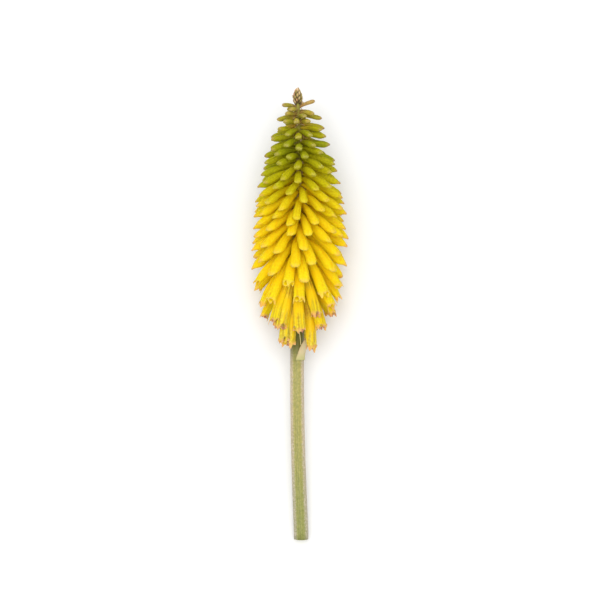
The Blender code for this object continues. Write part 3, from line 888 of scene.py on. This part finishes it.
def stem_finish():
    """A waxy stem: green in the middle, pale side bands of bloom and painted sheen, painted shade below the
    head, fine stripes and a pithy cut end.
    """
    colours = bpy.context.scene.poker_colours
    made = Finish("stem", 0.45, 0.35, 0.12, (0.8, 1.0, 0.4))
    side, shade, cut, low = map(made.mark, ("side", "shade", "cut", "low"))
    stripes = made.noise(made.vector("UV", (44.0, 0.5, 1.0)), 1.0, 4.0, 0.6)
    speckle = made.noise(made.vector("Object", (1.0, 0.25, 1.0)), 1500.0, 3.0)
    # Painted sheen: the pale bands on the stem's left and right sides are partly its waxy bloom and partly a
    # painted reflection of the bright surroundings
    colour = made.blend(made.step(side, 0.25, 0.75), colours.stem_green, colours.stem_bloom_and_sheen)
    bands = made.ramp(stripes, ((0.32, (0.25, 0.27, 0.20)), (0.68, (0.85, 0.85, 0.8))))
    colour = made.overlay(0.35, colour, bands)
    mottle = made.noise(made.vector("Object", (1.0, 0.6, 1.0)), 1100.0, 2.0)
    mottled = made.ramp(mottle, ((0.35, (0.30, 0.36, 0.30)), (0.65, (0.75, 0.70, 0.75))))
    colour = made.overlay(0.4, colour, mottled)
    colour = made.blend(low, colour, (0.74, 0.84, 0.79), "MULTIPLY")
    colour = made.blend(made.step(speckle, 0.62, 0.72, 0.0, 0.25), colour, (0.30, 0.20, 0.08))
    # Pale flecks on the same side bands, partly bloom and partly painted sheen
    flecks = made.noise(made.vector("Object"), 900.0, 2.0)
    waxy = made.times(made.step(flecks, 0.50, 0.62, 0.0, 0.5), made.step(side, 0.15, 0.6))
    colour = made.blend(waxy, colour, (0.68, 0.59, 0.47))
    colour = made.blend(made.step(side, 0.90, 0.99, 0.0, 0.3), colour, (0.40, 0.24, 0.13))
    colour = made.blend(shade, colour, (0.11, 0.115, 0.006))
    fibres = made.noise(made.vector("Object"), 1800.0, 3.0)
    pith = made.ramp(fibres, ((0.35, (0.55, 0.55, 0.25)), (0.6, (0.78, 0.75, 0.50))))
    colour = made.blend(cut, colour, pith)
    return made.finish(colour, stripes, 0.0002, 0.6)


def floor_finish():
    made = Finish("floor", 0.8, 0.2)
    grain = made.noise(made.vector("Object"), 3.0, 2.0)
    floor = bpy.context.scene.poker_colours.floor
    lighter = [min(1.0, value * 1.01) for value in floor]
    return made.finish(made.blend(grain, floor, lighter))


# The florets

def over_groove(spot):
    """Whether a point of a pattern floret stands over a groove between two petals."""
    return round(math.atan2(spot.y, spot.x) / (math.tau / FLORET_SIDES)) % 2 == 1


def floret_rings(tip):
    """Rings of (centre, radius) for a pattern floret with one of the tips."""
    rings = [(PATTERN_TUBE * share, width) for share, width in TUBE_OUTLINE]
    rings += [(PATTERN_TUBE + PATTERN_HALF_WIDTH * rise, width) for rise, width in tip]
    return upright((height, PATTERN_HALF_WIDTH * width) for height, width in rings)


def above_tube(half_widths):
    return PATTERN_TUBE + PATTERN_HALF_WIDTH * half_widths


def model_closed_floret(name, tip, pole, seam, groove):
    """A closed floret whose six petals meet at a blunt tip, with a seam and a notch between each two."""
    floret = model_tube(name, FLORET_SIDES, floret_rings(tip))
    close_pole(PATTERN_HALF_WIDTH * (pole - tip[-1][0]))
    pick(floret, lambda spot: spot.z > above_tube(pole * SEAM_START) and over_groove(spot)
         and math.hypot(spot.x, spot.y) > PATTERN_HALF_WIDTH * 0.1)
    swell(seam, seam, (0, 0, PATTERN_TUBE))
    raise_points(-PATTERN_HALF_WIDTH * NOTCH)
    start, end = PATTERN_TUBE * GROOVE_START, above_tube(pole * GROOVE_END)
    pick(floret, lambda spot: start < spot.z <= end and over_groove(spot))
    swell(groove, groove, (0, 0, 0))
    object_mode()
    mark_floret(floret, tip, pole)
    return floret


def model_open_floret(name, lobe, flare):
    """An open floret: six pointed lobes round a cup."""
    floret = model_tube(name, FLORET_SIDES, floret_rings(OPEN_TIP))
    close_pole(PATTERN_HALF_WIDTH * (OPEN_POLE - OPEN_TIP[-1][0]))
    edge = above_tube(OPEN_EDGE)
    pick(floret, lambda spot: spot.z > edge and not over_groove(spot))
    raise_points(PATTERN_HALF_WIDTH * lobe)
    swell(flare, flare, (0, 0, PATTERN_TUBE))
    pick(floret, lambda spot: spot.z > edge and over_groove(spot))
    raise_points(-PATTERN_HALF_WIDTH * lobe)
    swell(OPEN_EDGE_DRAWN_IN, OPEN_EDGE_DRAWN_IN, (0, 0, PATTERN_TUBE))
    start, end = PATTERN_TUBE * GROOVE_START, above_tube(OPEN_GROOVE_END)
    pick(floret, lambda spot: start < spot.z <= end and over_groove(spot)
         and math.hypot(spot.x, spot.y) > PATTERN_HALF_WIDTH)
    swell(OPEN_GROOVE_DRAWN_IN, OPEN_GROOVE_DRAWN_IN, (0, 0, 0))
    object_mode()
    apply(floret, "SUBSURF", "soften", levels=1, render_levels=1)
    mark_floret(floret, OPEN_TIP, OPEN_REACH)
    return floret


def mark_floret(floret, tip, end):
    """Stores where each point of a pattern lies: along the tube, at the rim, in a groove or in the cup."""
    mesh = floret.data
    table = places(mesh)
    height = table[:, 2]
    wide = np.hypot(table[:, 0], table[:, 1]) / PATTERN_HALF_WIDTH
    rise = (height - PATTERN_TUBE) / PATTERN_HALF_WIDTH
    turns = np.arctan2(table[:, 1], table[:, 0])
    is_open = tip is OPEN_TIP
    in_cup = (wide < CUP_WIDTH) & (height > PATTERN_TUBE * CUP_BOTTOM)
    hollow = in_cup if is_open else np.zeros(len(height))
    rim = smooth_share(rise, end - 0.9, end - 0.2) * (1.0 if is_open else np.clip(wide / 0.5, 0.3, 1))
    groove = (0.5 - 0.5 * np.cos(turns * PETALS)) ** 3 * np.clip(height / PATTERN_TUBE - GROOVE_START, 0, 1)
    mark(mesh, along=np.clip(height / height.max(), 0, 1), rim=rim * (1 - hollow), hollow=hollow,
         groove=groove)
    unroll(mesh, 60.0)


def smooth_share(values, start, end):
    share = np.clip((values - start) / (end - start), 0, 1)
    return share**2 * (3 - 2 * share)


def fit_pattern(mesh, floret, reach, wedge, flatness, spread, sway):
    """Fits a pattern to a floret: the tip keeps its form and the tube stretches. Returns the tube's end."""
    half_width, end = floret["half_width"], tip_depth(floret)
    size = half_width / PATTERN_HALF_WIDTH
    across, deep = linear(ACROSS, end), linear(DEEP, end)
    tube = floret["length"] * ARCH / (2 * math.sin(ARCH / 2)) - reach * half_width
    table = places(mesh)
    share = np.minimum(table[:, 2], PATTERN_TUBE) / PATTERN_TUBE
    tip = np.maximum(table[:, 2] - PATTERN_TUBE, 0.0)
    table[:, 2] = share * tube + tip * size
    thin = smooth_share((table[:, 2] - tube) / half_width, *wedge)
    lift = WEDGE_LIFT * flatness * half_width * thin
    table[:, 0] = table[:, 0] * size * deep * (1 - flatness * thin) - lift
    table[:, 1] *= size * across * (1 + (spread - 1) * smooth_share(share, 0.45, 1.0))
    table[:, 1] += half_width * sway * np.sin(math.pi * share)
    move_points(mesh, table)
    return tube


def tear_edge(mesh, tube_end, half_width, draw):
    """Makes the lobes round an open floret's mouth uneven."""
    table = places(mesh)
    turns = np.arctan2(table[:, 1], table[:, 0])
    uneven = sum(np.sin(turns * count + draw.uniform(0, math.tau)) for count in (2, 3, 5, 7))
    late = smooth_share((table[:, 2] - tube_end) / half_width, -0.1, 0.5)
    table[:, 2] += half_width * TORN * uneven * late
    move_points(mesh, table)


def root_matrix(floret):
    """A floret's root on the rachis, with +X away from it."""
    foot = axis_point(floret["depth"]) + outward(floret["turn"]) * floret["root_radius"]
    return planted(foot, floret["turn"])


def floret_matrix(floret):
    """Sets a floret that grows along +Z from the origin on the rachis."""
    return root_matrix(floret) @ Matrix.Rotation(math.pi / 2 + floret["droop"] - ARCH / 2, 4, "Y")


def tip_depth(floret):
    return floret["depth"] + floret["length"] * math.sin(floret["droop"])


def ripeness(floret, draw):
    """From 0 at the flower's tip, through the colour change, to 1 at the lowest florets."""
    end = tip_depth(floret)
    differs = draw.uniform(-RIPENESS_VARIES, RIPENESS_VARIES) * linear(RIPENESS_VARIES_SHARE, end)
    return linear(RIPENING, end) + differs


def blush(floret):
    """Sun tint: strongest at the head's sides, least on the side that faces the viewer."""
    facing = max(0.0, -math.sin(floret["turn"]))
    return LEAST_BLUSH + BLUSH_GAIN * (1 - facing) ** BLUSH_BEND


def grow_floret(pattern, floret, number, reach, draw):
    """One floret: a fitted, arched copy of a pattern, on its place on the rachis."""
    sizes = bpy.context.scene.poker_sizes
    grown = copy_of(pattern, f"floret_{number}")
    is_open = reach == OPEN_REACH
    flatness = sizes.petal_flatness * linear(MATURITY, tip_depth(floret)) * draw.uniform(*FLATNESS_RANGE)
    flatness *= OPEN_FLATNESS_SHARE if is_open else 1.0
    wedge = OPEN_WEDGE if is_open else CLOSED_WEDGE
    grown.data.transform(Matrix.Rotation(draw.uniform(*PETAL_TURN_RANGE), 4, "Z"))
    tube_end = fit_pattern(grown.data, floret, reach, wedge, flatness, sizes.petal_spread,
                           draw.uniform(*SWAY_RANGE))
    if is_open:
        tear_edge(grown.data, tube_end, floret["half_width"], draw)
    grown.data.transform(Matrix.Rotation(draw.uniform(*ROLL_RANGE), 4, "Z"))
    bend(grown, "arch", ARCH)
    grown.data.transform(floret_matrix(floret))
    mark(grown.data, ripeness=ripeness(floret, draw), tint=draw.random(),
         blush=blush(floret) * draw.uniform(*BLUSH_RANGE))
    return grown


def model_rachis():
    """The rachis, a little knobbly where florets grow."""
    depths = even_depths(HEAD_BASE_DEPTH, TUFT_DEPTH, round((HEAD_BASE_DEPTH - TUFT_DEPTH) / RACHIS_RING_GAP))
    rings = [(axis_point(d), stem_radius(d) * (1.0 + RACHIS_KNOBS * (k % 2))) for k, d in enumerate(depths)]
    rachis = plain_tube("rachis", RACHIS_SIDES, rings)
    depths = FLOWER_LENGTH - places(rachis.data)[:, 2]
    mark(rachis.data, ripeness=np.array([linear(RIPENING, depth) for depth in depths]))
    return rachis


class POKER_OT_florets(bpy.types.Operator):
    """Grow the green buds and the yellow florets"""

    bl_idname = "poker.florets"
    bl_label = "Florets"

    def execute(self, context):
        draw = random.Random(SEED + 1)
        young = model_closed_floret("pattern_young", YOUNG_TIP, YOUNG_POLE, seam=0.90, groove=0.93)
        ripe = model_closed_floret("pattern_ripe", RIPE_TIP, RIPE_POLE, seam=0.84, groove=0.88)
        opening = model_open_floret("pattern_opening", lobe=0.40, flare=1.03)
        opened = model_open_floret("pattern_opened", lobe=0.62, flare=1.12)
        patterns = ((OPENED_FROM_DEPTH, opened, OPEN_REACH), (OPENING_FROM_DEPTH, opening, OPEN_REACH),
                    (RIPE_FROM_DEPTH, ripe, RIPE_POLE), (0.0, young, YOUNG_POLE))
        green, yellow = [], []
        for number, floret in enumerate(FLORETS):
            depth = floret["depth"]
            pattern, reach = next(given for start, *given in patterns if depth > start)
            grown = grow_floret(pattern, floret, number, reach, draw)
            (green if depth < COLOUR_CHANGE_DEPTH else yellow).append(grown)
        remove(young, ripe, opening, opened)
        petal = petal_finish()
        finish_piece(join(green, "green_bud_tubes"), petal, "green_buds", "green_buds")
        finish_piece(join(yellow, "yellow_floret_tubes"), petal, "yellow_florets", "yellow_florets")
        finish_piece(model_rachis(), rachis_finish(), "green_buds")
        return {"FINISHED"}


# Stamens and styles

STAMENS_PER_FLORET = 4
STAMEN_SIDES = 6
STAMEN_LENGTH = 0.010
ANTHER_LENGTH = 0.0017
STAMEN_LEAN, STAMEN_CURL, STAMEN_TURN_VARIES = 0.10, 0.35, 0.3

# How far they stand out, as shares of the longest reach, and less where they point at the viewer
STAMEN_REACHES = (0.1, 0.2, 0.5, 1.0)
FACING_VIEWER, FACING_REACH = 0.6, 0.1
LONG_STYLE_REACH = 0.0075


def model_stamen():
    """A filament with its anther, standing on its lower end."""
    filament = STAMEN_LENGTH - ANTHER_LENGTH
    outline = ((0.0, 0.00022), (0.5 * filament, 0.00020), (filament, 0.00014),
               (filament + 0.15 * ANTHER_LENGTH, 0.00042), (filament + 0.55 * ANTHER_LENGTH, 0.00048),
               (filament + 0.88 * ANTHER_LENGTH, 0.00036), (STAMEN_LENGTH, 0.00014))
    stamen = plain_tube("pattern_stamen", STAMEN_SIDES, upright(outline))
    mark(stamen.data, anther=places(stamen.data)[:, 2] > filament + 0.1 * ANTHER_LENGTH)
    return stamen


def model_style():
    """A style, paler and longer than the stamens, with a small knob."""
    outline = ((0.0, 0.00020), (0.5, 0.00018), (0.95, 0.00015), (0.98, 0.00024), (1.0, 0.00012))
    rings = upright((STAMEN_LENGTH * share, radius) for share, radius in outline)
    style = plain_tube("pattern_style", STAMEN_SIDES, rings)
    mark(style.data, anther=0.0)
    return style


def mouth_matrix(floret):
    """The frame of a floret's mouth, with +Z out of it."""
    pose = Matrix.Rotation(math.pi / 2 + floret["droop"] + ARCH / 2, 4, "Y")
    tip = floret_line(floret, (1.0,))[0]
    return root_matrix(floret) @ Matrix.Translation(tip) @ pose


def long_style_rank(floret):
    """Highest for a floret that ends low down, near the middle of the viewer's side."""
    sideways, is_behind = abs(math.cos(floret["turn"])), math.sin(floret["turn"]) > 0
    return tip_depth(floret) - 0.05 * sideways - 0.1 * is_behind


class POKER_OT_stamens(bpy.types.Operator):
    """Set stamens and styles in the open florets"""

    bl_idname = "poker.stamens"
    bl_label = "Stamens and Styles"

    def execute(self, context):
        draw = random.Random(SEED + 2)
        reach = context.scene.poker_sizes.stamen_reach
        stamen, style = model_stamen(), model_style()
        grown = []
        open_florets = [floret for floret in FLORETS if floret["depth"] >= STAMENS_FROM_DEPTH]
        long_styled = max(open_florets, key=long_style_rank)
        for floret in open_florets:
            faces_viewer = -math.sin(floret["turn"]) > FACING_VIEWER
            mouth = mouth_matrix(floret)
            longest = reach * draw.choice(STAMEN_REACHES) * (FACING_REACH if faces_viewer else 1.0)
            for place in range(STAMENS_PER_FLORET + 1):
                is_style = place == STAMENS_PER_FLORET
                stands_out = longest * draw.uniform(0.3, 1.0)
                if floret is long_styled and is_style:
                    stands_out = LONG_STYLE_REACH
                turn = math.tau * place / (STAMENS_PER_FLORET + 1)
                turn += draw.uniform(-STAMEN_TURN_VARIES, STAMEN_TURN_VARIES)
                from_middle = floret["half_width"] * (0.1 if is_style else 0.5)
                piece = copy_of(style if is_style else stamen, "stamen")
                foot = outward(turn) * from_middle + Vector((0, 0, stands_out - STAMEN_LENGTH))
                one_way, other_way = (Matrix.Rotation(draw.uniform(-STAMEN_LEAN, STAMEN_LEAN), 4, axis)
                                      for axis in "XY")
                bend(piece, "curl", draw.uniform(-STAMEN_CURL, STAMEN_CURL))
                piece.data.transform(mouth @ Matrix.Translation(foot) @ (one_way @ other_way))
                grown.append(piece)
        remove(stamen, style)
        finish_piece(join(grown, "stamens_and_styles"), stamen_finish(), "yellow_florets")
        return {"FINISHED"}


# The small papery bracts between the florets: their outline and keel, how far below and outside a
# floret's root they start, and how young they look, by chance and at least at a root's depth

GAP_LEAF = ((0.0, 0.16), (0.25, 0.20), (0.55, 0.16), (0.82, 0.08), (1.0, 0.015))
GAP_LEAF_KEEL = 0.5
GAP_BRACT_BELOW, GAP_BRACT_OUTSIDE = 0.0014, 0.0006
GAP_BRACT_AGES = (0.3, 0.9, 1.0)
GAP_BRACT_YOUTH = ((0.03, 0.3), (0.05, 0.9))

# How much they differ in size, curl, turn and droop
GAP_BRACT_SIZES, GAP_BRACT_CURLS = (0.75, 1.15), (0.2, 0.9)
GAP_BRACT_TURNS, GAP_BRACT_DROOPS = (-0.25, 0.25), (-0.1, 0.15)


def model_leaf(name, outline, keel, wall):
    """A pointed leaf along +Z, one unit long, with its back towards +X."""
    pick_none()
    bpy.ops.mesh.primitive_grid_add(x_subdivisions=4, y_subdivisions=len(outline) - 1, size=1.0)
    leaf = bpy.context.object
    leaf.name = name
    edit_mode()
    for k, (share, half_width) in enumerate(outline):
        row = -0.5 + k / (len(outline) - 1)
        pick(leaf, lambda spot: abs(spot.y - row) < 0.01 and abs(spot.z) < 0.01)
        raise_points(share - row)
        swell(half_width * 2, 1.0, (0, row, 0))
    object_mode()
    table = places(leaf.data)
    across = table[:, 0].copy()
    along = table[:, 2] + table[:, 1]
    widths = np.interp(along, [share for share, _ in outline], [width for _, width in outline])
    edge = np.abs(across) / np.maximum(widths, 1e-6)
    move_points(leaf.data, np.stack([-keel * edge**1.5 * widths, across, along], axis=1))
    mark(leaf.data, edge=edge**2, along=along)
    unroll_flat(leaf.data, 1, 2)
    apply(leaf, "SOLIDIFY", "wall", thickness=wall, offset=0.0)
    pick_none()
    bpy.context.view_layer.objects.active = leaf
    edit_mode()
    bpy.ops.mesh.select_all(action="SELECT")
    bpy.ops.mesh.normals_make_consistent(inside=False)
    object_mode()
    return leaf


class POKER_OT_gap_bracts(bpy.types.Operator):
    """Set a small papery bract under each floret"""

    bl_idname = "poker.gap_bracts"
    bl_label = "Gap Bracts"

    def execute(self, context):
        draw = random.Random(SEED + 3)
        sizes = context.scene.poker_sizes
        wall = sizes.bract_wall / sizes.gap_bract_length
        leaf = model_leaf("pattern_gap_bract", GAP_LEAF, GAP_LEAF_KEEL, wall)
        grown = []
        for floret in FLORETS:
            young = draw.choice(GAP_BRACT_AGES)
            size = sizes.gap_bract_length * draw.uniform(*GAP_BRACT_SIZES)
            piece = copy_of(leaf, "gap_bract")
            mark(piece.data, young=max(young, linear(GAP_BRACT_YOUTH, floret["depth"])))
            bend(piece, "curl", draw.uniform(*GAP_BRACT_CURLS))
            turn = floret["turn"] + draw.uniform(*GAP_BRACT_TURNS)
            from_axis = floret["root_radius"] + GAP_BRACT_OUTSIDE
            foot = axis_point(floret["depth"] + GAP_BRACT_BELOW) + outward(turn) * from_axis
            tipped = Matrix.Rotation(math.pi / 2 + floret["droop"] + draw.uniform(*GAP_BRACT_DROOPS), 4, "Y")
            piece.data.transform(planted(foot, turn) @ tipped @ Matrix.Scale(size, 4))
            grown.append(piece)
        remove(leaf)
        papery = papery_finish("papery_scale", (0.50, 0.38, 0.18), (0.36, 0.32, 0.03))
        finish_piece(join(grown, "gap_bracts"), papery, "tip_tuft")
        return {"FINISHED"}


# The tuft at the tip

def model_scale():
    """A thick, narrow scale with a blunt tip, one unit long."""
    outline = ((0.0, 0.10), (0.25, 0.15), (0.55, 0.18), (0.80, 0.14), (0.94, 0.07))
    scale = model_tube("pattern_scale", TUFT_SCALE_SIDES, upright(outline))
    close_pole(0.05)
    pick(scale, lambda spot: True)
    swell(TUFT_SCALE_THICKNESS, 1.0, (0, 0, 0))
    object_mode()
    table = places(scale.data)
    turns = np.arctan2(table[:, 1], table[:, 0] / TUFT_SCALE_THICKNESS)
    mark(scale.data, edge=np.clip(np.abs(np.sin(turns)), 0, 1) ** 4, along=table[:, 2])
    unroll(scale.data, 1.0)
    return scale


class POKER_OT_tuft(bpy.types.Operator):
    """Overlap the youngest scales round the tip"""

    bl_idname = "poker.tuft"
    bl_label = "Tip Tuft"

    def execute(self, context):
        draw = random.Random(SEED + 4)
        pattern = model_scale()
        grown = []
        for count in range(TUFT_SCALES):
            share = count / (TUFT_SCALES - 1)
            length = TUFT_SCALE_LENGTH * (1 - TUFT_SCALE_SHORTENING * share)
            length *= draw.uniform(*TUFT_LENGTH_RANGE)
            tip = TUFT_LAST_TIP_DEPTH * share**TUFT_TIP_SPACING
            foot = tip + length * TUFT_SCALE_OVERLAP
            turn = count * DIVERGENCE
            tip_radius = through(TUFT_OUTLINE, tip) * draw.uniform(*TUFT_RADIUS_RANGE)
            foot_radius = through(TUFT_OUTLINE, foot) * TUFT_FOOT_SHARE
            piece = copy_of(pattern, "tuft_scale")
            bend(piece, "clasp", TUFT_SCALE_CLASP)
            lean = math.atan2(tip_radius - foot_radius, length) + TUFT_SCALE_LEAN
            root = planted(axis_point(foot) + outward(turn) * foot_radius, turn)
            piece.data.transform(root @ Matrix.Rotation(lean, 4, "Y") @ Matrix.Scale(length, 4))
            mark(piece.data, tint=draw.random())
            grown.append(piece)
        remove(pattern)
        rings = [(axis_point(depth), through(TUFT_OUTLINE, depth) * TUFT_CORE_SHARE)
                 for depth in even_depths(TUFT_DEPTH, TUFT_CORE_TOP, TUFT_CORE_RINGS)]
        core = plain_tube("tuft_core", TUFT_CORE_SIDES, rings)
        # along at 0 gives the core the full painted shade of the scales' feet
        mark(core.data, along=0.0, edge=0.0, tint=0.5)
        unroll(core.data, 100.0)
        finish_piece(join([core] + grown, "tip_scales"), tuft_finish(), "tip_tuft", "tip_tuft")
        return {"FINISHED"}


# The papery bract below the head

class POKER_OT_stem_bract(bpy.types.Operator):
    """Wrap the papery bract round the stem"""

    bl_idname = "poker.stem_bract"
    bl_label = "Stem Bract"

    def execute(self, context):
        draw = random.Random(SEED + 5)
        pick_none()
        bpy.ops.mesh.primitive_grid_add(x_subdivisions=BRACT_COLUMNS, y_subdivisions=BRACT_ROWS, size=2.0)
        bract = bpy.context.object
        mesh = bract.data
        ragged = [draw.uniform(-1, 1) for _ in range(BRACT_ROWS + 2)]
        spots, edges, shares = [], [], []
        for place_across, place_along, _ in places(mesh):
            share = (place_along + 1) / 2
            depth = BRACT_FOOT_DEPTH - BRACT_LENGTH * share
            half_angle = BRACT_HALF_ANGLE * (1 - BRACT_NARROWING * share**BRACT_POINTEDNESS)
            half_angle *= 1 + BRACT_RAGGEDNESS * ragged[round(share * BRACT_ROWS)] * abs(place_across) ** 3
            curl = BRACT_CURL * abs(place_across) ** 4 * share
            from_axis = stem_radius(depth) + CLEARANCE + BRACT_STAND_OFF * share**2 + curl
            turn = BRACT_TURN + half_angle * place_across
            spots.append(axis_point(depth) + outward(turn) * from_axis)
            edges.append(abs(place_across) ** 3)
            shares.append(share)
        unroll_flat(mesh, 0, 1, 0.5)
        move_points(mesh, np.array(spots))
        mark(mesh, edge=edges, along=shares)
        apply(bract, "SOLIDIFY", "wall", thickness=context.scene.poker_sizes.bract_wall, offset=1.0)
        bract.name = mesh.name = "papery_bract"
        papery = papery_finish("papery_bract", (0.62, 0.57, 0.32), (0.50, 0.49, 0.18), 0.2)
        finish_piece(bract, papery, "stem_bract", "stem_bract")
        return {"FINISHED"}


# The stem, with the depths over which the head's shade fades and its colour sinks towards the cut

STEM_SIDES, STEM_RINGS, STEM_RIBS = 36, 30, 9
STEM_RIND = 0.0006
PITH_DEPTH = 0.00025
PITH_MIDDLE = 0.001
SHADE_FADES, SHADE = (0.170, 0.151), 0.96
COLOUR_SINKS = (0.195, 0.265)


class POKER_OT_stem(bpy.types.Operator):
    """Grow the ribbed stem with its cut end"""

    bl_idname = "poker.stem"
    bl_label = "Stem"

    def execute(self, context):
        depths = even_depths(FLOWER_LENGTH, HEAD_BASE_DEPTH + CLEARANCE, STEM_RINGS)
        stem = model_tube("waxy_stem", STEM_SIDES, [(axis_point(d), stem_radius(d)) for d in depths])
        pick(stem, lambda spot: spot.z < PITH_DEPTH)
        bpy.ops.mesh.inset(thickness=STEM_RIND)
        bpy.ops.mesh.inset(thickness=STEM_RIND, depth=-PITH_DEPTH)
        close_pole(0.0)
        object_mode()
        mesh = stem.data
        table = places(mesh)
        depth = FLOWER_LENGTH - table[:, 2]
        middle = np.array([axis_point(d).x for d in depth])
        turns = np.arctan2(table[:, 1], table[:, 0] - middle)
        radius = np.hypot(table[:, 1], table[:, 0] - middle)
        on_cut = (table[:, 2] < 2 * PITH_DEPTH) & (radius < STEM_CUT_RADIUS - STEM_RIND / 2)
        rib = context.scene.poker_sizes.stem_rib_depth
        slim = radius - rib * (0.5 - 0.5 * np.cos(turns * STEM_RIBS)) * (radius > PITH_MIDDLE)
        table[:, 0] = middle + slim * np.cos(turns)
        table[:, 1] = slim * np.sin(turns)
        move_points(mesh, table)
        mark(mesh, side=np.abs(np.cos(turns)) ** 1.5, shade=smooth_share(depth, *SHADE_FADES) * SHADE,
             low=smooth_share(depth, *COLOUR_SINKS), cut=on_cut)
        unroll(mesh, 30.0)
        finish_piece(stem, stem_finish(), "stem", "stem")
        return {"FINISHED"}


# The stage: where the camera and the key light are on the standing flower, and what the light aims at

CAMERA_X, CAMERA_DEPTH = 0.0008, 0.1278
KEY_X, KEY_Y, KEY_DEPTH = -0.04, -0.95, 0.02
KEY_SIZE, KEY_AIM_DEPTH = 0.8, 0.10
FLOOR_GAP = 0.0001


class POKER_OT_stage(bpy.types.Operator):
    """Set the floor, the light and the camera"""

    bl_idname = "poker.stage"
    bl_label = "Stage"

    def execute(self, context):
        scene = context.scene
        settings = scene.poker_stage
        pick_none()
        bpy.ops.mesh.primitive_plane_add(size=settings.floor_width, location=(0, 0, -FLOOR_GAP))
        floor = context.object
        floor.name = "floor"
        bpy.ops.object.transform_apply()
        floor.data.materials.append(floor_finish())
        view = LYING @ Matrix.Translation((CAMERA_X, -settings.camera_distance, FLOWER_LENGTH - CAMERA_DEPTH))
        camera_data = bpy.data.cameras.new("camera")
        camera_data.lens = settings.lens
        camera = bpy.data.objects.new("camera", camera_data)
        camera.matrix_world = view @ Matrix.Rotation(math.pi / 2, 4, "X")
        scene.collection.objects.link(camera)
        scene.camera = camera
        key_data = bpy.data.lights.new("key", "AREA")
        key_data.energy = settings.key_power
        key_data.size = KEY_SIZE
        key = bpy.data.objects.new("key", key_data)
        key.location = LYING @ Vector((KEY_X, KEY_Y, FLOWER_LENGTH - KEY_DEPTH))
        aim = LYING @ Vector((0, 0, FLOWER_LENGTH - KEY_AIM_DEPTH)) - key.location
        key.rotation_euler = aim.to_track_quat("-Z", "Y").to_euler()
        scene.collection.objects.link(key)
        world = bpy.data.worlds.new("surroundings")
        world.use_nodes = True
        sky = world.node_tree.nodes["Background"]
        sky.inputs["Color"].default_value = (1.0, 1.0, 1.0, 1.0)
        sky.inputs["Strength"].default_value = settings.sky_strength
        scene.world = world
        scene.view_settings.view_transform = "Standard"
        return {"FINISHED"}


class POKER_PT_flower(bpy.types.Panel):
    """The flower's sizes, colours and pieces"""

    bl_idname = "POKER_PT_flower"
    bl_label = "Red Hot Poker Flower"
    bl_space_type = "VIEW_3D"
    bl_region_type = "UI"
    bl_category = "Flower"

    def draw(self, context):
        for group in (context.scene.poker_sizes, context.scene.poker_colours, context.scene.poker_stage):
            box = self.layout.box()
            for name in group.__annotations__:
                box.prop(group, name)
        for piece in PIECES:
            self.layout.operator(piece.bl_idname)


GROUPS = {"poker_sizes": POKER_PG_sizes, "poker_colours": POKER_PG_colours, "poker_stage": POKER_PG_stage}
PIECES = (POKER_OT_stem, POKER_OT_florets, POKER_OT_stamens, POKER_OT_gap_bracts, POKER_OT_tuft,
          POKER_OT_stem_bract, POKER_OT_stage)


def register():
    for group in (*GROUPS.values(), *PIECES, POKER_PT_flower):
        bpy.utils.register_class(group)
    for name, group in GROUPS.items():
        setattr(bpy.types.Scene, name, PointerProperty(type=group))


def unregister():
    for name in GROUPS:
        delattr(bpy.types.Scene, name)
    for group in reversed((*GROUPS.values(), *PIECES, POKER_PT_flower)):
        bpy.utils.unregister_class(group)


def main():
    register()
    bpy.ops.poker.stem()
    bpy.ops.poker.florets()
    bpy.ops.poker.stamens()
    bpy.ops.poker.gap_bracts()
    bpy.ops.poker.tuft()
    bpy.ops.poker.stem_bract()
    bpy.ops.poker.stage()


if __name__ == "__main__":
    main()
